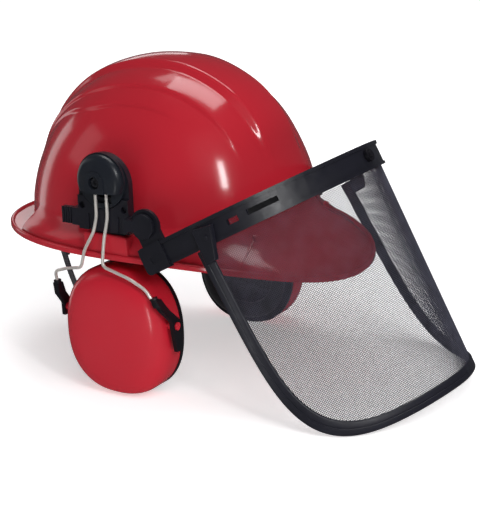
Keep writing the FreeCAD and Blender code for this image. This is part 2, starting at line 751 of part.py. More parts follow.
def blind_slot(side):
    """The long slot sunk into the outside of the band ahead of each clip."""
    slot = box((SLOT_X[0], SLOT_X[1]), (30, 130), SLOT_Z)
    if side < 0:
        slot = slot.mirror(ORIGIN, Y_AXIS)
    face = plan_curve(BAND_BEND_X, BAND_TIP - SLOT_DEPTH, BAND_HALF - SLOT_DEPTH, BAND_POWER, BAND_BEND_X)
    edge = [V(x, y, BAND_BOTTOM) for x, y in face]
    closing = [Part.makeLine(edge[-1], edge[0])]
    core = Part.Face(Part.Wire([open_curve(edge)] + closing)).extrude(V(0, 0, BAND_TOP - BAND_BOTTOM))
    return slot.cut(core)


def visor_band():
    """The curved carrier across the brow, with an ear and a thick end at each side."""
    body = band_rail(0.0, BAND_BOTTOM, BAND_TOP)
    extra = [band_rail(1.4, BAND_TOP - 2.6, BAND_TOP), band_rail(0.9, BAND_BOTTOM, BAND_BOTTOM + 2.2)]
    cuts = []
    inner = BAND_HALF - BAND_THICK
    for side in (-1, 1):
        def across(low, high):
            return (low, high) if side > 0 else (-high, -low)
        extra.append(rod(EAR_R, V(0, side * inner, 0), V(0, side * BAND_HALF, 0)))
        extra.append(box((-10, 10), across(inner, BAND_HALF), (-16, 0)))
        block = box((BAND_END, 7.0), across(inner, BAND_HALF + 2.0), (BAND_BOTTOM - 1.4, BAND_TOP + 0.4))
        corners = [e for e in block.Edges if e.BoundBox.XMax < BAND_END + 0.1 and e.BoundBox.ZLength < 0.1]
        extra.append(block.makeFillet(4.0, corners))
        cuts.append(rod(PIN_R + RUN_GAP, V(0, side * (inner - 2), 0), V(0, side * (BAND_HALF + 4), 0)))
        cuts.append(blind_slot(side))
        cuts.append(box((KEYHOLE_X - 3.4, KEYHOLE_X + 3.4), across(60, 130), (KEYHOLE_Z - 1.9, KEYHOLE_Z + 1.9)))
        recess = box((-4.4, 5.6), across(BAND_HALF + 1.4, 130), (-26.8, -22.0))
        for x in (-4.4, 5.6):
            recess = recess.fuse(rod(2.4, V(x, side * (BAND_HALF + 1.4), -24.4), V(x, side * 130, -24.4)))
        cuts.append(recess)
    body = body.fuse(extra).cut(cuts)
    return to_visor(body.removeSplitter())


def mesh_wall(inner_gap, outer_gap, top=MESH_TOP):
    """The curved wall of the visor sheet, between two offsets from its outer face."""
    wires = []
    bottom = MESH_MID - MESH_DEPTH
    lift = (top - MESH_MID) / MESH_DEPTH
    half = BAND_HALF - BAND_THICK - MESH_GAP
    tip = BAND_TIP - BAND_THICK - MESH_GAP
    upper = []
    lower = []
    for gap in (outer_gap, inner_gap):
        head = plan_curve(BAND_BEND_X, tip + gap, half + gap, BAND_POWER, MESH_SIDE_X)
        foot = plan_curve(FREE_BEND_X, FREE_TIP + gap, FREE_HALF + gap, FREE_POWER, FREE_SIDE_X)
        upper.append([V(mix(a[0], b[0], -lift), mix(a[1], b[1], -lift), top) for a, b in zip(head, foot)])
        lower.append([V(x, y, bottom) for x, y in foot])
    for outer, inner in (upper, lower):
        edges = [open_curve(outer), Part.makeLine(outer[-1], inner[-1]),
                 open_curve(inner[::-1]), Part.makeLine(inner[0], outer[0])]
        wires.append(Part.Wire(edges))
    return Part.makeLoft(wires, True, True)


def sheet_point(share, depth):
    """A point of the visor sheet's side view: share 0 at its middle, 1 at its side edge."""
    half = BAND_HALF - BAND_THICK - MESH_GAP
    tip = BAND_TIP - BAND_THICK - MESH_GAP
    head = plan_curve(BAND_BEND_X, tip, half, BAND_POWER, MESH_SIDE_X)
    foot = plan_curve(FREE_BEND_X, FREE_TIP, FREE_HALF, FREE_POWER, FREE_SIDE_X)
    place = (1 - share) * (len(head) - 1) / 2
    low = min(int(place), len(head) - 2)
    part = place - low
    a = mix(head[low][0], head[low + 1][0], part)
    b = mix(foot[low][0], foot[low + 1][0], part)
    return V(mix(a, b, depth / MESH_DEPTH), -130, MESH_MID - depth)


def visor_outline(inset):
    """A block as wide as the visor, cut to its rounded side view and inset from the edge."""
    side = 1 - inset / 140.0
    deep = MESH_DEPTH - inset
    points = []
    for i in range(25):
        turn = math.pi / 2 * i / 24
        share = side * math.cos(turn) ** (2 / CORNER_POWER)
        depth = deep * math.sin(turn) ** (2 / CORNER_POWER)
        points.append(sheet_point(share, depth))
    high = MESH_TOP + 8
    far = 160.0
    first = V(points[0].x, -130, high)
    edges = [Part.makeLine(first, points[0]), open_curve(points)]
    corners = [points[-1], V(far, -130, points[-1].z), V(far, -130, high), first]
    edges += [Part.makeLine(a, b) for a, b in zip(corners, corners[1:])]
    return Part.Face(Part.Wire(edges)).extrude(V(0, 260, 0))


def visor_sheet_solid():
    return mesh_wall(-MESH_THICK, 0.0).common(visor_outline(4.0)).Solids[0]


def visor_mesh():
    return to_visor(visor_sheet_solid())


def visor_edging():
    """The channel-shaped edging round the sheet's sides and bottom."""
    spare = (EDGING_THICK - MESH_THICK) / 2
    wall = mesh_wall(-MESH_THICK - spare, spare, BAND_BOTTOM - 0.3)
    frame = wall.common(visor_outline(0.0).cut(visor_outline(EDGING_WIDTH)))
    return to_visor(frame.cut(visor_sheet_solid()).Solids[0])


def visor_clip():
    """The tapered plate that clamps the top of the right-hand edging to the band."""
    corners = [V(37.6, -CLIP_FACE, -17.6), V(54.4, -CLIP_FACE, -19.6),
               V(46.2, -CLIP_FACE, -43.0), V(36.4, -CLIP_FACE, -44.0)]
    plate = Part.Face(Part.makePolygon(corners + corners[:1])).extrude(V(0, CLIP_FACE - BAND_HALF + 0.6, 0))
    plate = plate.makeFillet(1.0, [e for e in plate.Edges if e.BoundBox.YMax < -CLIP_FACE + 0.1])
    peg = rod(1.8, V(46.5, -BAND_HALF - 2, -26), V(46.5, -CLIP_FACE - 0.9, -26))
    band = band_rail(0.9, BAND_BOTTOM - 16, BAND_TOP + 2)
    return to_visor(plate.fuse(peg).cut(band).Solids[0])


def front_stud():
    """The round stud in the middle of the band's front."""
    head = rod(4.6, V(BAND_TIP, 0, -22.4), V(BAND_TIP + 3.2, 0, -22.4))
    rim = rod(2.6, V(BAND_TIP + 3.0, 0, -22.4), V(BAND_TIP + 4.4, 0, -22.4))
    return to_visor(head.fuse(rim))


# ------------------------------------------------------------------ write

def right_hand_parts():
    return {
        "strap_clip_front": strap_clip(-CLIP_ANGLES[0]),
        "strap_clip_side": strap_clip(-CLIP_ANGLES[1]),
        "strap_clip_rear": strap_clip(-CLIP_ANGLES[2]),
        "chin_anchor": chin_anchor(),
        "adapter_base": adapter_base(),
        "pivot_screw": pivot_screw(),
        "turntable": turntable(),
        "rocker": rocker(),
        "wire_rear": wire_rear(),
        "wire_front": wire_front(),
        "yoke_front": yoke_front(),
        "yoke_rear": yoke_rear(),
        "cup": cup(),
        "cup_rim": cup_rim(),
        "cushion": cushion(),
        "cup_foam": cup_foam(),
        "slide_bar": slide_bar(),
        "visor_pin": visor_pin(),
        "visor_clip": visor_clip(),
    }


def single_parts():
    front, side, rear = CLIP_ANGLES
    return {
        "shell": build_shell(),
        "crown_strap_side": crown_strap(-side, side, STRAP_TOP + 3.2),
        "crown_strap_right": crown_strap(-front, rear, STRAP_TOP),
        "crown_strap_left": crown_strap(front, -rear, STRAP_TOP + 1.6),
        "headband": headband(),
        "sweatband": sweatband(),
        "nape_housing": nape_housing(),
        "nape_knob": nape_knob(),
        "nape_pad": nape_pad(),
        "chin_strap": chin_strap(),
        "chin_slider": chin_slider(),
        "visor_band": visor_band(),
        "visor_mesh": visor_mesh(),
        "visor_edging": visor_edging(),
        "visor_front_stud": front_stud(),
    }


def write_parts():
    os.makedirs("parts", exist_ok=True)
    shapes = dict(single_parts())
    for name, shape in right_hand_parts().items():
        shapes["right_" + name] = shape
        shapes["left_" + name] = shape.mirror(ORIGIN, Y_AXIS)
    for name, shape in shapes.items():
        shape.exportStep("parts/" + name + ".step")


write_parts()
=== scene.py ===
import json
import math

import bmesh
import bpy
import numpy as np
from mathutils import Matrix, Vector

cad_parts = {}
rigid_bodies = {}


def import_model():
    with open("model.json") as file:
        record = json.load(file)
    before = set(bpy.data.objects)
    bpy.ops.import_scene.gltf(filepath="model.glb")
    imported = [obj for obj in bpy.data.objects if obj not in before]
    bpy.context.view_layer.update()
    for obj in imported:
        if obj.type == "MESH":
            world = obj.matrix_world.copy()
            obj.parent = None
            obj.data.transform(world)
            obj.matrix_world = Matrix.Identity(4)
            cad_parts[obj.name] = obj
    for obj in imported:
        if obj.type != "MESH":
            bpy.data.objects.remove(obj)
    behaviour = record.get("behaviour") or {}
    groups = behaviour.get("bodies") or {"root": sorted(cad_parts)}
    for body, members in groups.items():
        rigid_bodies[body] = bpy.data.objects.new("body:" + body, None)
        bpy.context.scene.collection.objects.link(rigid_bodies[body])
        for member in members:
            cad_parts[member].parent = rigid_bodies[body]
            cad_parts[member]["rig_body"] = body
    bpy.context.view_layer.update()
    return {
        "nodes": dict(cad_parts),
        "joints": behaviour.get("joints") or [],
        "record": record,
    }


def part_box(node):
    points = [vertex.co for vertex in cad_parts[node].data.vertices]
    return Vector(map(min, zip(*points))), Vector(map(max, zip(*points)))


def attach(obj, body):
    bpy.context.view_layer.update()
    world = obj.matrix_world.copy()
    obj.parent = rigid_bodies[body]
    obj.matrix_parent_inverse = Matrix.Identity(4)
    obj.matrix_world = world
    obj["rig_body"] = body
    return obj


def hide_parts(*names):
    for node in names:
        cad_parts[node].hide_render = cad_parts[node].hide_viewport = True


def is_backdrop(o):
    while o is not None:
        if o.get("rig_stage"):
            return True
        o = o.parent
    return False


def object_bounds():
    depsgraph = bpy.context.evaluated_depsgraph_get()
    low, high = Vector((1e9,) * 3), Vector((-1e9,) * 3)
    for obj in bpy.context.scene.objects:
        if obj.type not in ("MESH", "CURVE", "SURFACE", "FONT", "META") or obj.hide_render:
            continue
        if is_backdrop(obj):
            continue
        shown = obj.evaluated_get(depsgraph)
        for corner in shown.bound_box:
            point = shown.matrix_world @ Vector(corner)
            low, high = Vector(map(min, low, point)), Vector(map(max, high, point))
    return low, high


# The looks of the forestry helmet, in metres, in the CAD frame: +X forward, +Y left, +Z up.

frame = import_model()
SIDES = (("right", -1), ("left", 1))


# ------------------------------------------------------------------ camera

CAMERA_AZIMUTH = math.radians(31.885)
CAMERA_HEIGHT = math.radians(16.722)
CAMERA_ROLL = math.radians(-1.5456)
CAMERA_TARGET = Vector((0.054392, 0.0, -0.019088))
CAMERA_DISTANCE = 1.075204
LENS_MM = 98.69
SENSOR_MM = 36.0


def make_camera():
    """The camera, ahead of the helmet on its right, looking a little down."""
    back = Vector((math.sin(CAMERA_AZIMUTH) * math.cos(CAMERA_HEIGHT),
                   -math.cos(CAMERA_AZIMUTH) * math.cos(CAMERA_HEIGHT),
                   math.sin(CAMERA_HEIGHT)))
    right = (-back).cross(Vector((0, 0, 1))).normalized()
    up = right.cross(-back)
    turned_right = right * math.cos(CAMERA_ROLL) + up * math.sin(CAMERA_ROLL)
    turned_up = up * math.cos(CAMERA_ROLL) - right * math.sin(CAMERA_ROLL)
    data = bpy.data.cameras.new("camera")
    data.sensor_width = SENSOR_MM
    data.lens = LENS_MM
    data.clip_start = 0.05
    data.clip_end = 50
    camera = bpy.data.objects.new("camera", data)
    axes = Matrix((turned_right, turned_up, back)).transposed().to_4x4()
    camera.matrix_world = Matrix.Translation(CAMERA_TARGET + back * CAMERA_DISTANCE) @ axes
    bpy.context.scene.collection.objects.link(camera)
    bpy.context.scene.camera = camera


make_camera()


# --------------------------------------------------------------- materials

def link(tree, a, b):
    tree.links.new(a, b)


class Paint:
    """A small helper round one Principled material."""

    def __init__(self, name, color, rough, **sockets):
        self.material = bpy.data.materials.new(name)
        self.material.use_nodes = True
        self.tree = self.material.node_tree
        self.shader = self.tree.nodes["Principled BSDF"]
        self.shader.inputs["Base Color"].default_value = (*color, 1)
        self.shader.inputs["Roughness"].default_value = rough
        self.color = color
        for key, value in sockets.items():
            self.shader.inputs[key.replace("_", " ")].default_value = value
        coords = self.tree.nodes.new("ShaderNodeTexCoord")
        self.place = coords.outputs["Object"]
        self.height = None

    def node(self, kind, **settings):
        """A new shader node; each setting is one of its properties or else one of its sockets."""
        made = self.tree.nodes.new(kind)
        for key, value in settings.items():
            if hasattr(made, key):
                setattr(made, key, value)
            else:
                made.inputs[key.replace("_", " ")].default_value = value
        return made

    def stretch(self, scale):
        """The object's own coordinates, scaled along each axis."""
        mapping = self.node("ShaderNodeMapping")
        mapping.inputs["Scale"].default_value = scale
        link(self.tree, self.place, mapping.inputs["Vector"])
        return mapping.outputs["Vector"]

    def noise(self, scale, detail=3.0):
        """Cloudy values over the object; scale is the number of clouds in a metre."""
        made = self.node("ShaderNodeTexNoise", Scale=scale, Detail=detail)
        link(self.tree, self.place, made.inputs["Vector"])
        return made.outputs["Fac"]

    def cells(self, scale, **settings):
        """Distances to the middle of small cells; scale is the number of cells in a metre."""
        made = self.node("ShaderNodeTexVoronoi", Scale=scale, **settings)
        link(self.tree, self.place, made.inputs["Vector"])
        return made.outputs["Distance"]

    def ramp(self, source, stops):
        """Colours looked up along a source by (position, colour) stops."""
        made = self.node("ShaderNodeValToRGB")
        elements = made.color_ramp.elements
        while len(elements) < len(stops):
            elements.new(0.5)
        for element, (position, value) in zip(elements, stops):
            element.position = position
            element.color = (*value, 1)
        link(self.tree, source, made.inputs["Fac"])
        return made.outputs["Color"]

    def vary_color(self, source, low, high):
        """Base colour between two shares of itself."""
        dark = tuple(c * low for c in self.color)
        light = tuple(min(1.0, c * high) for c in self.color)
        link(self.tree, self.ramp(source, ((0.3, dark), (0.7, light))), self.shader.inputs["Base Color"])

    def vary_rough(self, source, low, high):
        """Roughness between two values."""
        made = self.node("ShaderNodeMapRange", To_Min=low, To_Max=high, From_Min=0.3, From_Max=0.7)
        link(self.tree, source, made.inputs["Value"])
        link(self.tree, made.outputs["Result"], self.shader.inputs["Roughness"])

    def bump(self, source, strength, distance):
        """One more layer of relief, distance metres tall, over those already there."""
        made = self.node("ShaderNodeBump", Strength=strength, Distance=distance)
        link(self.tree, source, made.inputs["Height"])
        if self.height:
            link(self.tree, self.height, made.inputs["Normal"])
        self.height = made.outputs["Normal"]
        link(self.tree, self.height, self.shader.inputs["Normal"])


def glossy_red(name, color, rough):
    """Injection-moulded gloss plastic with a faint ripple."""
    p = Paint(name, color, rough, Coat_Weight=0.25, Coat_Roughness=0.08, IOR=1.47)
    p.vary_color(p.noise(6, 1), 0.985, 1.015)
    p.vary_rough(p.noise(60, 4), rough * 0.9, rough * 1.1)
    p.bump(p.noise(30, 2), 0.03, 0.0006)
    p.bump(p.noise(900, 2), 0.03, 0.0001)
    return p.material


def moulded_plastic(name, color, rough, grain=0.25):
    """Fine-textured plastic; grain is how strong the texture is."""
    p = Paint(name, color, rough, IOR=1.5)
    p.vary_color(p.noise(30, 4), 0.8, 1.2)
    p.vary_rough(p.noise(150, 4), rough * 0.85, rough * 1.15)
    p.bump(p.noise(1500, 3), grain, 0.0001)
    return p.material


def cloth(name, color, pitch, sheen=0.3):
    """Woven or brushed cloth; pitch is the distance between its threads in metres."""
    p = Paint(name, color, 0.9, Sheen_Weight=sheen, Sheen_Roughness=0.5)
    checks = p.cells(1 / pitch, Randomness=0.15)
    p.vary_color(p.noise(600, 3), 0.6, 1.3)
    p.bump(checks, 0.7, pitch * 0.6)
    p.bump(p.noise(2500, 2), 0.3, 0.0001)
    return p.material


def steel_wire(name):
    """Drawn stainless wire."""
    p = Paint(name, (0.84, 0.80, 0.75), 0.32, Metallic=0.6)
    p.vary_color(p.noise(80, 3), 0.94, 1.04)
    p.vary_rough(p.noise(200, 3), 0.29, 0.36)
    p.bump(p.noise(1400, 2), 0.03, 0.00003)
    return p.material


def coated_wire(name):
    """The dark coat on the visor's woven wire."""
    p = Paint(name, (0.045, 0.045, 0.064), 0.45, IOR=1.5)
    p.vary_color(p.noise(120, 4), 0.7, 1.4)
    p.vary_rough(p.noise(400, 3), 0.35, 0.55)
    return p.material


def vinyl(name, color):
    """Soft, finely wrinkled skin."""
    p = Paint(name, color, 0.5, IOR=1.45, Sheen_Weight=0.1)
    p.vary_color(p.noise(40, 4), 0.8, 1.2)
    p.vary_rough(p.noise(200, 4), 0.42, 0.6)
    p.bump(p.cells(900.0), 0.12, 0.0002)
    return p.material


def open_foam(name, color):
    """Open-cell foam full of pores."""
    p = Paint(name, color, 0.95)
    pores = p.cells(900.0)
    # darker at the middle of each pit: painted shade in the pores
    p.vary_color(pores, 0.4, 1.4)
    p.bump(pores, 0.8, 0.0008)
    return p.material


LOOKS = {
    "shell_red": glossy_red("shell_red", (0.45, 0.016, 0.028), 0.17),
    "cup_red": glossy_red("cup_red", (0.52, 0.015, 0.030), 0.235),
    "dark_plastic": moulded_plastic("dark_plastic", (0.009, 0.009, 0.014), 0.34, 0.10),
    "cap_plastic": moulded_plastic("cap_plastic", (0.009, 0.011, 0.016), 0.34, 0.10),
    "black_plastic": moulded_plastic("black_plastic", (0.005, 0.0045, 0.007), 0.4, 0.2),
    "screw_black": moulded_plastic("screw_black", (0.012, 0.012, 0.015), 0.22, 0.1),
    "wire_mesh": coated_wire("wire_mesh"),
    "rubber_edging": moulded_plastic("rubber_edging", (0.011, 0.011, 0.018), 0.42, 0.25),
    "steel": steel_wire("steel"),
    "harness_plastic": moulded_plastic("harness_plastic", (0.02, 0.02, 0.022), 0.5),
    "webbing": cloth("webbing", (0.035, 0.035, 0.040), 0.0009),
    "elastic_black": cloth("elastic_black", (0.022, 0.022, 0.03), 0.0007),
    "sweatband_foam": cloth("sweatband_foam", (0.03, 0.03, 0.034), 0.0006, 0.6),
    "cushion_vinyl": vinyl("cushion_vinyl", (0.012, 0.012, 0.015)),
    "foam": open_foam("foam", (0.05, 0.05, 0.055)),
}

# a near-black sheet of painted shade for the blind slot's floor, which no light reaches
SLOT_PAINTED_SHADE = moulded_plastic("slot_painted_shade", (0.0012, 0.0012, 0.002), 0.8, 0.1)


# ------------------------------------------------------------- mesh helpers

def spow(value, power):
    """A power that keeps the sign."""
    return np.sign(value) * np.abs(value) ** power


def smooth(value):
    """An eased step from 0 to 1."""
    value = np.clip(value, 0, 1)
    return value * value * (3 - 2 * value)


def unit(v):
    return v / np.maximum(np.linalg.norm(v, axis=-1, keepdims=True), 1e-12)


def joint_place(name):
    """Where the frame puts a joint."""
    return next(joint["pos_m"] for joint in frame["joints"] if joint["name"] == name)


def make(name, points, faces, sharp=35.0):
    """A new smooth-shaded object; edges sharper than the given angle stay sharp."""
    mesh = bpy.data.meshes.new(name)
    mesh.from_pydata([tuple(p) for p in np.asarray(points, float).tolist()], [], faces)
    mesh.validate()
    mesh.update()
    shade(mesh, sharp)
    obj = bpy.data.objects.new(name, mesh)
    bpy.context.scene.collection.objects.link(obj)
    return obj


def shade(mesh, sharp):
    mesh.polygons.foreach_set("use_smooth", [True] * len(mesh.polygons))
    mesh.set_sharp_from_angle(angle=math.radians(sharp))
    mesh.update()


def wear(obj, body, slot, *stands_for):
    """Give a finished piece its material, its CAD body and the nodes it stands for."""
    obj.data.materials.clear()
    obj.data.materials.append(LOOKS[slot])
    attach(obj, body)
    if stands_for:
        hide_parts(*stands_for)


def grid_faces(rows, cols, loop=False, caps=False):
    """Quads over rows of points that each run all the way round; loop joins the last row to the first."""
    faces = []
    for r in range(rows if loop else rows - 1):
        below = (r + 1) % rows
        for c in range(cols):
            beside = (c + 1) % cols
            faces.append((r * cols + c, r * cols + beside, below * cols + beside, below * cols + c))
    if caps:
        faces.append(tuple(range(cols - 1, -1, -1)))
        faces.append(tuple((rows - 1) * cols + c for c in range(cols)))
    return faces


def sweep(path, across, up, profile):
    """A closed profile of (across, up) offsets carried along a path."""
    path, across, up = (np.asarray(v, float)[:, None, :] for v in (path, across, up))
    profile = np.asarray(profile, float)[None, :, :]
    return path + across * profile[..., :1] + up * profile[..., 1:]


def apply_modifiers(obj, sharp=35.0):
    """Turn the modified shape into the object's own mesh."""
    graph = bpy.context.evaluated_depsgraph_get()
    mesh = bpy.data.meshes.new_from_object(obj.evaluated_get(graph))
    obj.modifiers.clear()
    obj.data = mesh
    shade(mesh, sharp)


def combine(obj, other, operation):
    """Join, or cut, one solid with another, which is then removed."""
    mod = obj.modifiers.new(operation, "BOOLEAN")
    mod.operation = operation
    mod.solver = "MANIFOLD"
    mod.object = other
    bpy.context.view_layer.update()
    apply_modifiers(obj)
    bpy.data.objects.remove(other)


def block(name, low, high, round_by, turn=0.0, segments=3):
    """A box with all its edges rounded, turned about Z through its middle."""
    low, high = Vector(low), Vector(high)
    bm = bmesh.new()
    bmesh.ops.create_cube(bm, size=1.0)
    bmesh.ops.scale(bm, vec=high - low, verts=bm.verts)
    bmesh.ops.bevel(bm, geom=list(bm.edges), offset=round_by, segments=segments, affect="EDGES", profile=0.5)
    bmesh.ops.rotate(bm, matrix=Matrix.Rotation(turn, 3, "Z"), verts=bm.verts)
    bmesh.ops.translate(bm, vec=(low + high) / 2, verts=bm.verts)
    mesh = bpy.data.meshes.new(name)
    bm.to_mesh(mesh)
    bm.free()
    obj = bpy.data.objects.new(name, mesh)
    bpy.context.scene.collection.objects.link(obj)
    return obj


EASED_EDGE = 0.0003
SHARP_DEG = 38.0
FLAT_DEG = 0.8


def eased(node, slot):
    """The CAD part again, with its sharp edges eased as a mould leaves them."""
    source = frame["nodes"][node]
    mesh = source.data.copy()
    obj = bpy.data.objects.new(node + "_eased", mesh)
    bpy.context.scene.collection.objects.link(obj)
    bm = bmesh.new()
    bm.from_mesh(mesh)
    bmesh.ops.remove_doubles(bm, verts=bm.verts, dist=1e-6)
    bmesh.ops.dissolve_limit(bm, angle_limit=math.radians(FLAT_DEG), verts=bm.verts, edges=bm.edges)
    bm.to_mesh(mesh)
    bm.free()
    bevel = obj.modifiers.new("edge", "BEVEL")
    bevel.width = EASED_EDGE
    bevel.segments = 2
    bevel.limit_method = "ANGLE"
    bevel.angle_limit = math.radians(SHARP_DEG)
    bevel.use_clamp_overlap = True
    even = obj.modifiers.new("even", "WEIGHTED_NORMAL")
    even.weight = 100
    even.keep_sharp = True
    obj.data.polygons.foreach_set("use_smooth", [True] * len(obj.data.polygons))
    apply_modifiers(obj, SHARP_DEG)
    wear(obj, source["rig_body"], slot, node)


# ------------------------------------------------------------------- shell

MM = 0.001
SHELL_LOW, SHELL_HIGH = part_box("shell")
BRIM_FRONT, BRIM_REAR, BRIM_HALF = SHELL_HIGH.x, -SHELL_LOW.x, SHELL_HIGH.y
DOME_FRONT, DOME_REAR, DOME_HALF, FOOT, CROWN = 0.111, 0.121, 0.0945, 0.004, 0.1265
DOME_POWER = 2.23
BRIM_POWER = 2.2
WALL = 0.0028
UNDERSIDE = -0.0018
PEAK_DROP = 0.018
# where the skirt leaves the dome, as a share of the way up it
SKIRT_T = 0.10
SKIRT_ROWS = 36
# the level of the rear shelf and of the skirt's foot
SHELF_Z = 0.0012
FLARE_Z = 0.010
LIP_INSET = 0.0034
# the step between the flared side wall and the rear shelf, in degrees from the front
STEP_DEG = 131
STEP_WIDE_DEG = 2.0
# the crown closes in a small flat at this share
TOP_T = 0.992
# half width, rise and wall width in millimetres, the share the width draws in by at the rear,
# and where along the helmet the ridge starts and ends fading out in front, in millimetres
RIDGES = ((58.0, 1.2, 2.6, 0.28, 14.0, 50.0),
          (44.5, 1.7, 3.2, 0.15, 58.0, 92.0),
          (22.0, 4.0, 8.0, 0.15, 80.0, 108.0))
# where the ridges draw together towards the rear and how high up they start, in millimetres
PULL_X, PULL_RUN = -30, 70
RIDGE_Z, RIDGE_RUN = 45, 40
# how far in from the edge and how far above its middle line the rolled lip's rows lie, in millimetres
LIP_ROWS = ((2.9, 1.8), (2.4, 2.5), (1.8, 2.8), (1.1, 2.8), (0.4, 2.5), (0.0, 1.9), (0.0, 0.4), (0.0, -1.0),
            (0.3, -1.6), (0.9, -1.8), (2.4, -1.8), (5.0, -1.8), (12.0, -1.8))


def ridge_rise(x, y, z):
    """How far the three fore-and-aft ridges lift the dome's surface."""
    x, y, z = x / MM, y / MM, z / MM
    total = np.zeros_like(x)
    for half, rise, wall, pull, fade_from, fade_to in RIDGES:
        edge = half * (1 - pull * smooth((PULL_X - x) / PULL_RUN))
        across = smooth((edge + wall / 2 - abs(y)) / wall)
        total += rise * across * (1 - smooth((x - fade_from) / (fade_to - fade_from)))
    return total * smooth((z - RIDGE_Z) / RIDGE_RUN) * MM


def dome(angle, t, inset):
    """A ring of the dome: t runs from 0 at its foot to 1 at the crown."""
    c, s = np.cos(angle), np.sin(angle)
    rise = t * np.pi / 2
    size = np.cos(rise) ** (0.96 - 0.05 * c * c)
    length = np.where(c > 0, DOME_FRONT, DOME_REAR) - inset
    tall = CROWN - inset - FOOT
    x = length * spow(c, 2 / DOME_POWER) * size
    y = (DOME_HALF - inset) * spow(s, 2 / DOME_POWER) * size
    z = FOOT + tall * np.sin(rise) + 0 * x
    out = unit(np.stack([x / length ** 2, y / DOME_HALF ** 2, (z - FOOT) / tall ** 2 + 1e-9], -1))
    lift = ridge_rise(x, y, z)
    sideways = smooth((0.97 - t) / 0.2)
    return np.stack([x + out[..., 0] * lift * sideways, y + out[..., 1] * lift * sideways,
                     z + (1 + (out[..., 2] - 1) * sideways) * lift], -1)


def edge_z(angle):
    """The height of the brim's middle line, which drops towards the peak's tip."""
    c = np.maximum(np.cos(angle), 0)
    return -PEAK_DROP * c ** 2.6


def brim(angle, inset, above):
    """A ring round the brim's edge."""
    c, s = np.cos(angle), np.sin(angle)
    length = np.where(c > 0, BRIM_FRONT, BRIM_REAR) - inset
    x = length * spow(c, 2 / BRIM_POWER)
    y = (BRIM_HALF - inset) * spow(s, 2 / BRIM_POWER)
    return np.stack([x, y, edge_z(angle) + above], -1)


def mix(a, b, share):
    return a + (b - a) * share


def bezier(points, share):
    """A point of the smooth curve that the control points draw."""
    while len(points) > 1:
        points = [mix(a, b, share) for a, b in zip(points, points[1:])]
    return points[0]


def at_height(points, z):
    moved = points.copy()
    moved[:, 2] = z
    return moved


def rear_shelf(top, corner, foot, share):
    """Down the dome's foot, round a small corner and out over the flat shelf."""
    if share < 0.42:
        return mix(top, corner, share * 2)
    if share > 0.58:
        return mix(corner, foot, share * 2 - 1)
    return bezier([mix(top, corner, 0.84), corner, mix(corner, foot, 0.16)], (share - 0.42) / 0.16)


def skirt(angle, share):
    """The outer skin between the dome and the lip: shelf behind, flared wall at the sides, peak in front."""
    top, foot = dome(angle, SKIRT_T, 0), brim(angle, LIP_INSET, SHELF_Z)
    down = unit(top - dome(angle, SKIRT_T + 0.01, 0))
    turn = np.abs(np.arctan2(np.sin(angle), np.cos(angle)))
    shelf = rear_shelf(top, at_height(dome(angle, 0.0, 0), SHELF_Z), foot, share)
    wall = bezier([top, top + down * 0.008, at_height(mix(top, foot, 0.96), FLARE_Z), foot], share)
    peak = bezier([top, at_height(mix(top, foot, 0.15), SHELF_Z), foot], share)
    side = (1 - smooth((turn - math.radians(STEP_DEG)) / math.radians(STEP_WIDE_DEG) + 0.5))[:, None]
    front = (np.maximum(np.cos(angle), 0) ** 2)[:, None]
    return mix(mix(shelf, wall, side), peak, front)


def shell_mesh():
    """The whole skin: down the outside, round the lip and up the inside."""
    turn = np.linspace(0, 2 * np.pi, 540, endpoint=False)
    step = np.radians(np.linspace(STEP_DEG - 2, STEP_DEG + 2, 11))
    turn = np.sort(np.concatenate([turn, step, 2 * np.pi - step]))
    rows = [dome(turn, t, 0) for t in np.linspace(TOP_T, SKIRT_T, 170)]
    rows += [skirt(turn, k / SKIRT_ROWS) for k in range(1, SKIRT_ROWS + 1)]
    rows += [brim(turn, inset * MM, above * MM) for inset, above in LIP_ROWS]
    below = at_height(dome(turn, 0.0, WALL), UNDERSIDE)
    below[:, 2] += np.minimum(edge_z(turn) * 0.12, 0)
    rows.append(below)
    rows += [dome(turn, t, WALL) for t in np.linspace(0.0, TOP_T, 70)]
    points = np.stack(rows)
    return make("shell_skin", points.reshape(-1, 3), grid_faces(len(rows), len(turn), caps=True))


def wall_place(angle):
    """A point of the inner wall's foot and the heading straight out of it."""
    here = dome(np.array([angle]), np.zeros(1), WALL)[0]
    ahead = dome(np.array([angle + 0.01]), np.zeros(1), WALL)[0]
    along = ahead - here
    return here, math.atan2(-along[0], along[1])


def pin(radius, depth, place, vertices, turn=(0, 0, 0)):
    """A plain round bar, to join to a piece or to cut from it."""
    bpy.ops.mesh.primitive_cylinder_add(vertices=vertices, radius=radius, depth=depth,
                                        location=place, rotation=turn)
    return bpy.context.object


LAND_RADIUS = 0.0034
LAND_Z = 0.0015
LAND_CUT = 0.009
HOLE_CUT = 0.03


def cut_lanyard_hole(shell, mount):
    """The lanyard hole through the brim and the flat land sunk round it."""
    x, y, z = mount["pos_m"]
    combine(shell, pin(mount["dims"]["r_mm"] * MM, HOLE_CUT, (x, y, z), 32), "DIFFERENCE")
    combine(shell, pin(LAND_RADIUS, LAND_CUT, (x, y, LAND_Z + LAND_CUT / 2), 40), "DIFFERENCE")


RIB_FROM = (0.1005, 0.054)
RIB_RUN = (0.004, 0.025)
RIB_HALF_WIDE = 0.0008
RIB_HALF_HIGH = 0.0006


